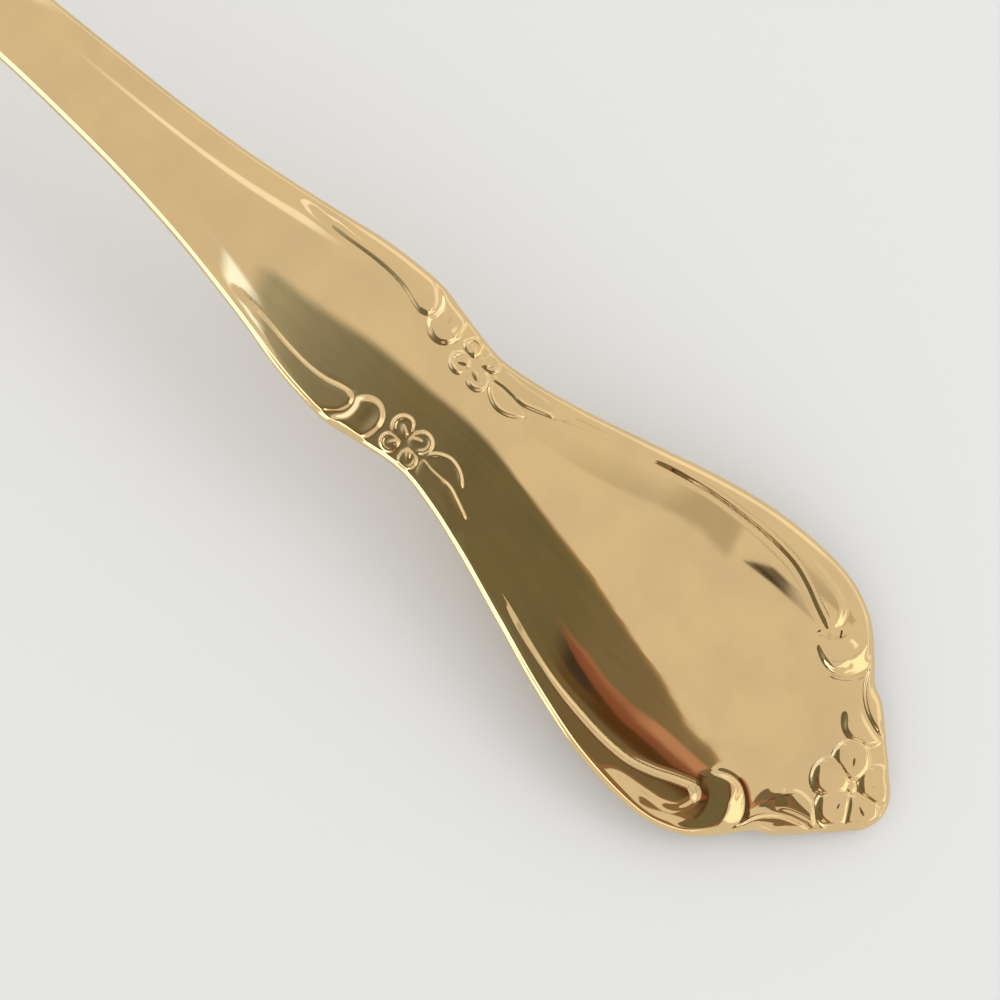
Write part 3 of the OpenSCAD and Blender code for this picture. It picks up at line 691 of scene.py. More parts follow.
    def tip_blossom(self):
        """Five broad petals with fine creases between them, a drop in each and a button in the middle."""
        part, along, across = self.window(TIP_BLOSSOM_BOX)
        height = np.full(along.shape, -1.0)
        second = np.full(along.shape, -1.0)
        for spot, deep in zip(TIP_PETALS, TIP_DROP_SHARES):
            out, beside = petal_axes(spot, TIP_CENTRE, along, across)
            r = np.hypot(out, beside) / TIP_PETAL_RADIUS
            narrow, wide = TIP_DROP_WIDTHS
            breadth = narrow + (wide - narrow) * fade(out, *TIP_DROP_WIDENS)
            drop = np.hypot((out + TIP_DROP_SHIFT) / TIP_DROP_LENGTH, beside / breadth)
            rise = TIP_PETAL_FOOT_SHARE + (1 - TIP_PETAL_FOOT_SHARE) * fade(out, *TIP_PETAL_RISE)
            dome = pillow(1 - r, rise, TIP_PETAL_SHOULDER) - ridge(drop, TIP_DROP * deep, 1)
            petal = np.where(r < 1, dome, -1)
            second = np.maximum(second, np.minimum(height, petal))
            height = np.maximum(height, petal)
        crease = np.where(second > 0, ridge(height - second, TIP_CREASE, TIP_CREASE), 0)
        height = np.where(height >= 0, height - crease, height)
        centre = np.hypot(along - TIP_CENTRE[0], across - TIP_CENTRE[1])
        button = pillow(TIP_BUTTON_RADIUS - centre, TIP_BUTTON, TIP_BUTTON_SHOULDER)
        height = np.where(centre < TIP_BUTTON_RADIUS, np.maximum(height, button), height)
        self.press("tip_blossom", part, self.relief.petal_height * np.maximum(height, 0), height >= TIP_FOOT)

    def soften(self, width):
        """Rounds the whole map over by a few hundredths of a millimetre, as a worn die does."""
        reach = int(3 * width / RASTER_STEP) + 1
        weight = np.exp(-(np.arange(-reach, reach + 1) * RASTER_STEP / width) ** 2 / 2)
        weight /= weight.sum()
        for axis in (0, 1):
            margin = [(reach, reach) if a == axis else (0, 0) for a in (0, 1)]
            padded = np.pad(self.height, margin, mode="edge")
            count = self.height.shape[axis]
            self.height = sum(w * np.take(padded, np.arange(k, k + count), axis=axis)
                              for k, w in enumerate(weight))

    def look_up(self, field, s, y):
        """A value of the map at any spot, smoothly between its grid points."""
        a = np.clip(s / RASTER_STEP, 0, self.shape[0] - LAST_CELL)
        b = np.clip((y + self.half) / RASTER_STEP, 0, self.shape[1] - LAST_CELL)
        i, j = a.astype(int), b.astype(int)
        u, v = a - i, b - j
        value = ((field[i, j] * (1 - v) + field[i, j + 1] * v) * (1 - u)
                 + (field[i + 1, j] * (1 - v) + field[i + 1, j + 1] * v) * u)
        return np.where(s < self.blank.handle + 1, value, 0)

    def name_at(self, s, y):
        """The number of the form at each spot."""
        i = np.clip(np.rint(s / RASTER_STEP).astype(int), 0, self.shape[0] - 1)
        j = np.clip(np.rint((y + self.half) / RASTER_STEP).astype(int), 0, self.shape[1] - 1)
        return np.where(s < self.blank.handle - 1, self.label[i, j], 0)


def from_middle(along, across, middle, size):
    """How far each spot is from the middle of an oval, which ends at 1."""
    return np.hypot((along - middle[0]) / size[0], (across - middle[1]) / size[1])


def petal_axes(spot, middle, along, across, turn=0.0):
    """Places out along a petal and beside that line, from the petal's own centre."""
    way = math.atan2(spot[1] - middle[1], spot[0] - middle[0]) + turn
    a, b = along - spot[0], across - spot[1]
    return a * math.cos(way) + b * math.sin(way), b * math.cos(way) - a * math.sin(way)


# The whole skin

# The distance between rows by places along, the shares across of the points in a row, and how far the body
# lies below the forms that cover it.
ROW_STEPS = [(0, 0.08), (13, 0.08), (15, 0.12), (31, 0.12), (33, 0.08), (45, 0.08), (50, 0.15), (60, 0.4),
             (100, 0.4), (106, 0.5), (155, 0.5)]
MIDDLE_SHARE = 0.35
MIDDLE_POINTS = 14
SIDE_POINTS = 82
UNDER_POINTS = 33
ACROSS_SHARES = np.concatenate([np.linspace(0, MIDDLE_SHARE, MIDDLE_POINTS)[:-1],
                                np.linspace(MIDDLE_SHARE, 1, SIDE_POINTS)])
UNDER_SHARES = np.sin(np.radians(np.linspace(-90, 90, UNDER_POINTS)))
LIP_STEPS = 5
LIP_GROWTH = 6
HIDDEN_DEPTH = 0.06
SAME_SPOT_DIGITS = 5
SLOPE_STEP = 0.02
LIP_SLOPE_STEP = 0.01


class Skin:
    """The whole surface of the spoon as rows of rings, in metres, and the form of each top face."""

    def __init__(self, blank, ornament):
        self.blank, self.ornament = blank, ornament
        edge, outward = self.edge_rows()
        rings = self.rings(edge, outward)
        self.points = rings.reshape(-1, 3).copy()
        self.points[:, 0] = blank.size.overall_length / 2 - self.points[:, 0]
        self.points /= MILLIMETRES
        self.number = joined_at_ends(rings)
        following = np.roll(self.number, -1, axis=1)
        self.faces = np.stack([self.number[:-1], following[:-1], following[1:], self.number[1:]], axis=2)
        self.normals = self.shading()
        s, y = self.top_s, self.top_y
        self.form = ornament.name_at((s[:-1, :-1] + s[1:, 1:]) / 2,
                                     (y[:-1, :-1] + y[1:, 1:] + y[:-1, 1:] + y[1:, :-1]) / 4)
        self.row_place = (edge[:-1, 0] + edge[1:, 0]) / 2

    def edge_rows(self):
        """Where each row meets the left outline, and the way out of the outline there."""
        outline = self.blank.outline
        run = np.concatenate([[0], np.cumsum(np.hypot(*np.diff(outline, axis=0).T))])
        tangent = np.gradient(outline, run, axis=0)
        tangent[0], tangent[-1] = (0, 1), (0, -1)
        tangent /= np.hypot(*tangent.T)[:, None]
        step = np.interp(outline[:, 0], *np.array(ROW_STEPS).T)
        count = np.concatenate([[0], np.cumsum(np.diff(run) / ((step[1:] + step[:-1]) / 2))])
        at = np.interp(np.linspace(0, count[-1], int(count[-1]) + 1), count, run)
        edge = np.stack([np.interp(at, run, outline[:, k]) for k in (0, 1)], axis=1)
        along, out = (np.interp(at, run, tangent[:, k]) for k in (0, 1))
        outward = np.stack([-out, along], axis=1)
        outward /= np.hypot(*outward.T)[:, None]
        return edge, outward

    def rings(self, edge, outward):
        """All rows of points: the top, one edge, the under side and the other edge, in millimetres."""
        size, blank = self.blank.size, self.blank
        in_bowl = fade(edge[:, 0], blank.handle, blank.handle + LIP_GROWTH)
        lip = size.edge_radius + (size.bowl_lip - size.edge_radius) * in_bowl
        low_lip = size.under_radius + (size.bowl_lip - size.under_radius) * in_bowl
        upper = edge - outward * lip[:, None]
        lower = edge - outward * low_lip[:, None]
        upper[[0, -1], 1] = lower[[0, -1], 1] = 0
        shares = np.concatenate([-ACROSS_SHARES[:0:-1], ACROSS_SHARES])
        self.top_count = len(shares)
        self.top_s = s = np.repeat(upper[:, :1], len(shares), axis=1)
        self.top_y = y = upper[:, 1:] * shares
        top = np.stack([s, y, self.surface(s, y)], axis=2)
        s = np.repeat(lower[:, :1], len(UNDER_SHARES), axis=1)
        y = lower[:, 1:] * UNDER_SHARES
        under = np.stack([s, y, blank.under(s, y)], axis=2)
        lips = {sign: rounded_edge(upper, outward, lip, sign, self.surface, -1) for sign in (1, -1)}
        low_lips = {sign: rounded_edge(lower, outward, low_lip, sign, blank.under, 1) for sign in (1, -1)}
        return np.concatenate([top, lips[1], low_lips[1][:, ::-1], under[:, ::-1], low_lips[-1],
                               lips[-1][:, ::-1]], axis=1)

    def surface(self, s, y):
        """The height of the top with its forms."""
        return self.plain(s, y) + self.ornament.look_up(self.ornament.height, s, y)

    def plain(self, s, y):
        """The height of the top without its forms, with its rolled edge."""
        return self.blank.top(s, y) - self.ornament.edge_fall(s, y)

    def shading(self):
        """A normal for each point, from the faces round it and, on the top, from the map's own slopes."""
        p = self.points * MILLIMETRES
        quads = self.faces.reshape(-1, 4)
        face_normal = np.cross(p[quads[:, 2]] - p[quads[:, 0]], p[quads[:, 3]] - p[quads[:, 1]])
        normal = np.zeros_like(p)
        for k in range(4):
            np.add.at(normal, quads[:, k], face_normal)
        size = np.linalg.norm(normal, axis=1, keepdims=True)
        normal /= np.where(size > 0, size, 1)
        s, y, step = self.top_s[:, 1:-1], self.top_y[:, 1:-1], SLOPE_STEP
        along = ((self.plain(s + step, y) - self.plain(s - step, y)) / (2 * step)
                 + self.ornament.look_up(self.ornament.slope_along, s, y))
        across = ((self.plain(s, y + step) - self.plain(s, y - step)) / (2 * step)
                  + self.ornament.look_up(self.ornament.slope_across, s, y))
        exact = np.stack([along, -across, np.ones_like(along)], axis=2)
        exact /= np.linalg.norm(exact, axis=2, keepdims=True)
        inner = self.number[2:-2, 1:self.top_count - 1]
        normal[inner.ravel()] = exact[2:-2].reshape(-1, 3)
        return normal


def rounded_edge(inner, outward, radius, sign, surface, turn):
    """The rounded edge from an inset line out to the wall, as rows of points after the inset line's own."""
    s, y = inner[:, 0], inner[:, 1] * sign
    push_s, push_y = outward[:, 0], outward[:, 1] * sign
    start = surface(s, y)
    slope = (start - surface(s - push_s * LIP_SLOPE_STEP, y - push_y * LIP_SLOPE_STEP)) / LIP_SLOPE_STEP
    crest = start + slope * radius
    foot = crest + turn * radius
    points = []
    for t in np.arange(1, LIP_STEPS + 1) / LIP_STEPS:
        reach = radius * (2 * t - t * t)
        z = (1 - t) ** 2 * start + 2 * t * (1 - t) * crest + t * t * foot
        points.append(np.stack([s + push_s * reach, y + push_y * reach, z], axis=1))
    return np.stack(points, axis=1)


def joined_at_ends(rings):
    """The number of each point of the rings, where points that fall together at the two tips share one."""
    rows, count = rings.shape[:2]
    number = np.arange(rows * count).reshape(rows, count)
    for end in (0, rows - 1):
        spots = np.round(rings[end], SAME_SPOT_DIGITS)
        _, first, which = np.unique(spots, axis=0, return_index=True, return_inverse=True)
        number[end] = number[end][first[which.ravel()]]
    return number


def whole_skin():
    """The skin for the sizes now set, made once and kept."""
    scene = bpy.context.scene
    size, relief = in_millimetres(scene.teaspoon_blank), in_millimetres(scene.teaspoon_relief)
    key = (tuple(vars(size).values()), tuple(vars(relief).values()))
    if whole_skin.made.get("key") != key:
        blank = Blank(size)
        whole_skin.made.update(key=key, skin=Skin(blank, Ornament(blank, relief)))
    return whole_skin.made["skin"]


whole_skin.made = {}


# Pieces

def make_piece(name, points, faces, normals):
    """A mesh object from faces of points, each with a normal for each of its corners."""
    sizes = np.array([len(face) for face in faces])
    corners = np.concatenate(faces)
    used, which = np.unique(corners, return_inverse=True)
    mesh = bpy.data.meshes.new(name)
    mesh.vertices.add(len(used))
    mesh.vertices.foreach_set("co", points[used].astype(np.float32).ravel())
    mesh.loops.add(len(corners))
    mesh.loops.foreach_set("vertex_index", which.astype(np.int32))
    mesh.polygons.add(len(sizes))
    mesh.polygons.foreach_set("loop_start", (np.cumsum(sizes) - sizes).astype(np.int32))
    mesh.update(calc_edges=True)
    if mesh.validate():
        raise RuntimeError("the mesh of %s has faces that aren't sound" % name)
    mesh.normals_split_custom_set(normals)
    piece = add_to_scene(name + "_skin", mesh)
    piece.data.materials.append(spoon_gold())
    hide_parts(name)
    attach(piece, "root")
    return piece


def tidy_faces(faces):
    """Faces without the corners that fall together at the two tips."""
    kept = []
    for face in faces:
        corner = [a for a, b in zip(face, np.roll(face, 1)) if a != b]
        if len(set(corner)) > 2:
            kept.append(np.array(corner))
    return kept


def raised_piece(skin, name):
    """One pressed form as a closed piece: its top is the skin, and its base lies on the body."""
    mine = skin.form == skin.ornament.names.index(name)
    top = tidy_faces(skin.faces[:, :skin.top_count - 1][mine])
    base = skin.points.copy()
    base[:, 2] = hidden_heights(skin)
    shift = len(skin.points)
    under = [face[::-1] + shift for face in top]
    edges = dict.fromkeys(edge for face in top for edge in zip(face, np.roll(face, -1)))
    walls = [np.array([b, a, a + shift, b + shift]) for a, b in edges if (b, a) not in edges]
    points = np.vstack([skin.points, base])
    normals = [skin.normals[np.concatenate(top)]]
    for face in under + walls:
        p = points[face]
        flat = np.cross(p[2] - p[0], p[-1] - p[1])
        size = np.linalg.norm(flat)
        normals.append(np.repeat([flat / size if size > 0 else (0, 0, -1)], len(face), axis=0))
    return make_piece(name, points, top + under + walls, np.vstack(normals))


def hidden_heights(skin):
    """How high the body lies under the pressed forms, in metres."""
    s = skin.blank.size.overall_length / 2 - skin.points[:, 0] * MILLIMETRES
    y = skin.points[:, 1] * MILLIMETRES
    raised = skin.ornament.look_up(skin.ornament.height, s, y)
    return (skin.plain(s, y) + np.minimum(raised, 0) - HIDDEN_DEPTH) / MILLIMETRES


def bury_under_forms(skin):
    """The points of the body, lowered inside the forms, and its top faces that lie along a form's border."""
    covered = skin.form > 0
    padded = np.pad(covered, 1, constant_values=False)
    buried = padded[:-1, :-1] & padded[1:, :-1] & padded[:-1, 1:] & padded[1:, 1:]
    points = skin.points.copy()
    lowered = skin.number[:, :skin.top_count][buried]
    points[lowered, 2] = hidden_heights(skin)[lowered]
    rows, count = covered.shape
    corners = sum(buried[a:a + rows, b:b + count].astype(int) for a in (0, 1) for b in (0, 1))
    bordering = np.zeros(skin.faces.shape[:2], bool)
    bordering[:, :count] = covered & (corners < 2)
    return points, bordering


def body_piece(skin, name, low, high):
    """A length of the plain body, closed at both ends, with its top lowered where pressed forms cover it."""
    rows = (skin.row_place >= low) & (skin.row_place < high)
    first, last = np.nonzero(rows)[0][[0, -1]]
    points, bordering = bury_under_forms(skin)
    quads = skin.faces[bordering & rows[:, None]]
    dents = skin.points[quads].mean(axis=1) - (0, 0, HIDDEN_DEPTH / MILLIMETRES)
    middle = len(points) + np.arange(len(quads))
    fans = np.concatenate([np.stack([quads[:, k], quads[:, (k + 1) % 4], middle], axis=1) for k in range(4)])
    points = np.vstack([points, dents])
    shading = np.vstack([skin.normals, np.tile((0.0, 0.0, 1.0), (len(dents), 1))])
    faces = tidy_faces(skin.faces[~bordering & rows[:, None]]) + tidy_faces(fans)
    normals = [shading[np.concatenate(faces)]]
    caps = []
    if first > 0:
        caps.append((skin.number[first][::-1], (1, 0, 0)))
    if last < len(rows) - 1:
        caps.append((skin.number[last + 1], (-1, 0, 0)))
    for ring, way in caps:
        faces.append(ring)
        normals.append(np.repeat([way], len(ring), axis=0))
    return make_piece(name, points, faces, np.vstack(normals))


# The gold

SMUDGE_SCALE = 260
SMUDGE_DETAIL = 4
SMUDGE_TONES = (0.4, 0.65)
SMUDGE_DULLNESS = (0.35, 0.7)
HAIR_SCALE = 900
HAIR_DETAIL = 2
HAIR_STRETCH = (0.06, 1, 1)
HAIR_TURN = 0.3
HAIR_DEPTH = 0.00002


def spoon_gold():
    """Polished gold plating with smudges and fine hairlines."""
    material = bpy.data.materials.get("spoon_gold")
    if material:
        return material
    finish = bpy.context.scene.teaspoon_finish
    material = bpy.data.materials.new("spoon_gold")
    material.use_nodes = True
    nodes, links = material.node_tree.nodes, material.node_tree.links
    shader = nodes["Principled BSDF"]
    shader.inputs["Metallic"].default_value = 1.0
    place = nodes.new("ShaderNodeTexCoord")

    def noise(scale, detail, stretch=(1, 1, 1), turn=0.0):
        """Noise from 0 to 1, squeezed by a stretch and turned."""
        mapping = nodes.new("ShaderNodeMapping")
        mapping.inputs["Scale"].default_value = stretch
        mapping.inputs["Rotation"].default_value = (0, 0, turn)
        texture = nodes.new("ShaderNodeTexNoise")
        texture.inputs["Scale"].default_value = scale
        texture.inputs["Detail"].default_value = detail
        links.new(place.outputs["Object"], mapping.inputs["Vector"])
        links.new(mapping.outputs["Vector"], texture.inputs["Vector"])
        return texture.outputs["Fac"]

    def spread(value, low, high, to_low, to_high):
        """A value spread from one range to another."""
        node = nodes.new("ShaderNodeMapRange")
        for key, number in (("From Min", low), ("From Max", high), ("To Min", to_low), ("To Max", to_high)):
            node.inputs[key].default_value = number
        links.new(value, node.inputs["Value"])
        return node.outputs["Result"]

    smudges = noise(SMUDGE_SCALE, SMUDGE_DETAIL)
    tone = nodes.new("ShaderNodeMix")
    tone.data_type = "RGBA"
    tone.inputs["A"].default_value = (*finish.gold, 1)
    tone.inputs["B"].default_value = (*finish.worn_gold, 1)
    links.new(spread(smudges, *SMUDGE_TONES, 0, 1), tone.inputs["Factor"])
    links.new(tone.outputs["Result"], shader.inputs["Base Color"])
    dull = finish.roughness + finish.smudge
    links.new(spread(smudges, *SMUDGE_DULLNESS, finish.roughness, dull), shader.inputs["Roughness"])
    bump = nodes.new("ShaderNodeBump")
    bump.inputs["Strength"].default_value = finish.scratches
    bump.inputs["Distance"].default_value = HAIR_DEPTH
    links.new(noise(HAIR_SCALE, HAIR_DETAIL, HAIR_STRETCH, HAIR_TURN), bump.inputs["Height"])
    links.new(bump.outputs["Normal"], shader.inputs["Normal"])
    return material


# The floor

FLOOR_REACH = 3.0
FLOOR_ROUGHNESS = 0.9


def add_to_scene(name, data):
    """An object of some data, put into the scene."""
    thing = bpy.data.objects.new(name, data)
    bpy.context.scene.collection.objects.link(thing)
    return thing


def build_floor(tint):
    """A wide plain pale floor under the spoon."""
    mesh = bpy.data.meshes.new("floor")
    corners = [(x * FLOOR_REACH, y * FLOOR_REACH, 0) for x, y in ((-1, -1), (1, -1), (1, 1), (-1, 1))]
    mesh.from_pydata(corners, [], [(0, 1, 2, 3)])
    material = bpy.data.materials.new("floor_paint")
    material.use_nodes = True
    shader = material.node_tree.nodes["Principled BSDF"]
    shader.inputs["Base Color"].default_value = (*tint, 1)
    shader.inputs["Roughness"].default_value = FLOOR_ROUGHNESS
    mesh.materials.append(material)
    add_to_scene("floor", mesh)


# Sums and colours made of nodes

class Maths:
    """Strings nodes together in a node tree: a value is a number, a colour or a socket."""

    def __init__(self, tree):
        self.nodes, self.links = tree.nodes, tree.links

    def feed(self, value, socket):
        """Links a socket to another or sets it to a number or a colour."""
        if isinstance(value, bpy.types.NodeSocket):
            self.links.new(value, socket)
        else:
            socket.default_value = value

    def do(self, operation, *values):
        """One step of arithmetic, by the name of Blender's operation."""
        node = self.nodes.new("ShaderNodeMath")
        node.operation = operation
        for value, socket in zip(values, node.inputs):
            self.feed(value, socket)
        return node.outputs[0]

    def minus(self, first, second):
        """The first less the second."""
        return self.do("SUBTRACT", first, second)

    def over(self, first, second):
        """The first divided by the second."""
        return self.do("DIVIDE", first, second)

    def plus(self, first, *others):
        """The sum of all."""
        for value in others:
            first = self.do("ADD", first, value)
        return first

    def times(self, first, *others):
        """The product of all."""
        for value in others:
            first = self.do("MULTIPLY", first, value)
        return first

    def fade(self, value, start, end):
        """0 where the value is at or before the start, 1 at or beyond the end, and smooth between them."""
        node = self.nodes.new("ShaderNodeMapRange")
        node.interpolation_type = "SMOOTHSTEP"
        settings = {"Value": value, "From Min": start, "From Max": end, "To Min": 0, "To Max": 1}
        for key, number in settings.items():
            self.feed(number, node.inputs[key])
        return node.outputs["Result"]

    def patch(self, axes, fades):
        """1 where all fades are full: each is the name of an axis, where it starts and where it is full."""
        return self.times(*(self.fade(axes[name], start, full) for name, start, full in fades))

    def blend(self, factor, first, second):
        """A colour between two."""
        node = self.nodes.new("ShaderNodeMix")
        node.data_type = "RGBA"
        for value, socket in zip((factor, first, second), (node.inputs[0], node.inputs[6], node.inputs[7])):
            self.feed((*value, 1) if isinstance(value, tuple) else value, socket)
        return node.outputs[2]

    def ramp(self, factor, tones):
        """A colour that runs through a list of tones as its factor goes from 0 to 1."""
        node = self.nodes.new("ShaderNodeValToRGB")
        marks = node.color_ramp.elements
        while len(marks) < len(tones):
            marks.new(0.5)
        for mark, (spot, tone) in zip(marks, tones):
            mark.position, mark.color = spot, (*tone, 1)
        self.links.new(factor, node.inputs[0])
        return node.outputs[0]

    def tones_along(self, x, tones):
        """A colour that runs through tones placed along x."""
        first, last = float(tones[0][0]), float(tones[-1][0])
        shares = [((spot - first) / (last - first), tone) for spot, tone in tones]
        return self.ramp(self.over(self.minus(x, first), last - first), shares)

    def line(self, x, points):
        """The height at x of a smooth line through points."""
        place, value = np.array(points, float).T
        first, last = float(place[0]), float(place[-1])
        low, high = value.min() - 1, value.max() + 1
        node = self.nodes.new("ShaderNodeFloatCurve")
        marks = node.mapping.curves[0].points
        spots = [((a - first) / (last - first), (b - low) / (high - low)) for a, b in zip(place, value)]
        marks[0].location, marks[-1].location = spots[0], spots[-1]
        for spot in spots[1:-1]:
            marks.new(*spot)
        node.mapping.update()
        held = self.do("MINIMUM", self.do("MAXIMUM", x, first), last)
        self.feed(self.over(self.minus(held, first), last - first), node.inputs["Value"])
        return self.plus(self.times(node.outputs[0], high - low), low)


# The room

CEILING = (0.84, 0.815, 0.78)
FLOOR_LIGHT = (0.92, 0.92, 0.92)
LOWEST_WAY = 0.02
# What the gold reflects besides the ceiling: the colour of each patch and its fades. Places in the room are
# u and v, how far a way goes along x and y for each length that it climbs.
ROOM_PATCHES = {
    "upper room": ((1.15, 1.15, 1.15), [("v", 0.9, 2.4)]),
    "far wall": ((0.60, 0.57, 0.50),
                 [("v", 0.37, 0.395), ("v", 0.52, 0.46), ("u", 0.52, 0.62), ("u", 1.05, 0.95)]),
    "far window": ((1.2, 1.25, 1.35),
                   [("v", 0.415, 0.435), ("v", 0.50, 0.475), ("u", 0.23, 0.13), ("u", -0.3, 0.0)]),
    "near ceiling": (CEILING, [("v", -0.08, -0.2), ("v", -0.8, -0.5), ("u", 0.12, 0.08), ("u", -0.5, -0.1)]),
    "side window": ((1.35, 1.65, 2.1),
                    [("v", -0.085, -0.12), ("v", -0.5, -0.4), ("u", 0.225, 0.195), ("u", 0.04, 0.08)]),
    "end window": ((1.45, 1.6, 1.85),
                   [("u", -0.4, -0.5), ("v", -1.1, -0.8), ("v", 1.1, 0.8), ("u", -1.3, -0.85)]),
    "low window": ((2.6, 2.6, 2.5), [("v", -2.6, -3.2), ("u", 5.0, 4.0)]),
    "tip window": ((1.5, 1.5, 1.42), [("u", 1.05, 1.3), ("u", 5.0, 4.0), ("v", -0.1, 0.05), ("v", 1.0, 0.8)]),
}


def light_room(backdrop):
    """The room round the spoon, which only its reflections show, its plain light and the plain backdrop."""
    world = bpy.data.worlds.new("room")
    bpy.context.scene.world = world
    world.use_nodes = True
    tree = world.node_tree
    maths = Maths(tree)
    way = tree.nodes.new("ShaderNodeTexCoord").outputs["Generated"]
    split = tree.nodes.new("ShaderNodeSeparateXYZ")
    tree.links.new(way, split.inputs[0])
    x, y, z = split.outputs
    climb = maths.do("MAXIMUM", z, LOWEST_WAY)
    axes = {"u": maths.over(x, climb), "v": maths.over(y, climb)}
    room = CEILING
    for tone, fades in ROOM_PATCHES.values():
        room = maths.blend(maths.patch(axes, fades), room, tone)
    path = tree.nodes.new("ShaderNodeLightPath").outputs
    light = maths.blend(path["Is Glossy Ray"], FLOOR_LIGHT, room)
    shown = maths.blend(path["Is Camera Ray"], light, tuple(backdrop))
    tree.links.new(shown, tree.nodes["Background"].inputs["Color"])


# The dark card, a glowing sheet seen only in the gold, which paints reflections into it

CARD_HEIGHT = 0.080
CARD_SIDES = (0.030, 0.165)
CARD_ENDS = (-0.25, 0.044)
# Places on the card are millimetres along x and y. Its far edge is a line, and its right edge steps out.
CARD_EDGE = [(32, -4), (34, -1), (36, 1.5), (38, 3.0), (40, 4.0), (44, 5.2), (48, 6.8), (52, 8.6), (56, 10.8),
             (60, 12.0), (64, 12.9), (70, 14.2), (76, 14.4), (80, 13.4), (84, 11.6), (88, 10.2), (92, 9.0),
             (96, 8.1), (100, 7.4), (104, 6.8), (107, 6.0), (110, 5.0), (112, 4.0), (114, 2.2), (115, 0.3),
             (116, -3), (116.6, -8)]
CARD_EDGE_SOFTNESS = 0.3
CARD_EDGE_SOFTER = 2.4
CARD_EDGE_SOFTENS = (105, 50)
CARD_RAGGED = 1.6
RIGHT_EDGE = 116.6
RIGHT_EDGE_STEPS = [((-5.5, -9), 18), ((-12, -16), 28)]
RIGHT_SOFTNESS = 0.1
# The card's tones along x paint the long dark reflection down the near side of the handle.
CARD_TONES = [(40, (0.445, 0.475, 0.440)), (48, (0.345, 0.36, 0.325)), (56, (0.275, 0.28, 0.24)),
              (64, (0.23, 0.22, 0.155)), (70, (0.22, 0.215, 0.165)), (76, (0.19, 0.182, 0.128)),
              (82, (0.195, 0.187, 0.128)), (94, (0.192, 0.183, 0.118)), (104, (0.225, 0.203, 0.145)),
              (110, (0.23, 0.20, 0.153)), (114, (0.255, 0.213, 0.143)), (117, (0.29, 0.22, 0.15))]
FRINGE_TONE = (0.41, 0.29, 0.155)
# The warm band, a painted reflection of a reddish streak, lies between two lines, and its tones run from the
# lower to the upper one.
BAND_HIGH = [(94, -4.4), (97, -4.4), (100, -4.0), (103, -3.6), (105, -3.7), (107, -4.0), (109, -4.5),
             (111, -4.8), (113, -4.9), (114.5, -4.4), (117, -4.2)]
BAND_LOW = [(94, -6.4), (97, -6.3), (100, -6.5), (103, -6.8), (105, -7.0), (107, -7.4), (109, -8.0),
            (111, -8.7), (113, -9.1), (115.5, -8.9), (117, -9.0)]
BAND_TONES = [(0.0, (0.27, 0.11, 0.075)), (0.5, (0.31, 0.135, 0.095)), (0.72, (0.42, 0.20, 0.16)),
              (0.86, (0.40, 0.22, 0.17)), (1.0, (0.24, 0.20, 0.135))]
HOT_TONE = (0.62, 0.36, 0.27)
DARK_OLIVE = (0.065, 0.053, 0.046)
DARK_BROWN = (0.110, 0.055, 0.021)
LOW_BROWN = (0.14, 0.095, 0.05)
NEAR_RIM = (0.205, 0.172, 0.11)
FAR_OLIVE = (0.20, 0.18, 0.13)
FAR_BROWN = (0.30, 0.20, 0.125)
# The blotch paints a small dark reflection in the gold by the far rim.
BLOTCH_TONES = [(0.0, (0.055, 0.045, 0.03)), (1.0, (0.16, 0.145, 0.12))]
BLOTCH_STREAKS = (0.42, 0.62)
BLOTCH_FOOT = 35.9
BLOTCH_FOOT_START = 112.3
BLOTCH_FOOT_LEAN = 0.33
BLOTCH_ROOF = 37.3
BLOTCH_ROOF_START = 114.0
BLOTCH_ROOF_LEAN = 1.6
BLOTCH_TOP = 40.2
BLOTCH_SOFTNESS = 0.2
BLOTCH_RAGGED = 2.0
# Each part of the card by its fades, along x and y, up across the warm band, and below the far edge.
CARD_PARTS = {
    "start": [("x", 32.5, 39)],
    "hot end": [("x", 112, 115.5), ("up", 0.3, 0.6)],
    "dark brown": [("x", 106, 111)],
    "low brown": [("y", -9, -10), ("x", 112, 107)],
    "near rim": [("y", -11, -14)],
    "under band": [("up", 0.08, -0.12)],
    "far brown": [("y", -10, -14)],
    "far right": [("x", 116.0, 117.0)],
    "glint": [("x", 119.6, 121), ("x", 136, 133), ("y", -22, -26), ("y", -66, -58)],
    "fringe": [("below", 1.4, 0.0), ("x", 84, 92)],
    "warm": [("x", 92, 101), ("up", 1.1, 0.95)],
    "upper": [("y", 15.5, 17)],
    "pale": [("x", 111.0, 112.2), ("y", 29, 31), ("y", 43.5, 42.5)],
    "blotch": [("x", 111.2, 112.6), ("x", 117.2, 116.8)],
}
STREAK_STRETCH = (60, 700, 1)
STREAK_TURN = 0.03
STREAK_DETAIL = 4.0
DIMMEST_STREAK = 0.85
STREAK_STRENGTH = 0.3


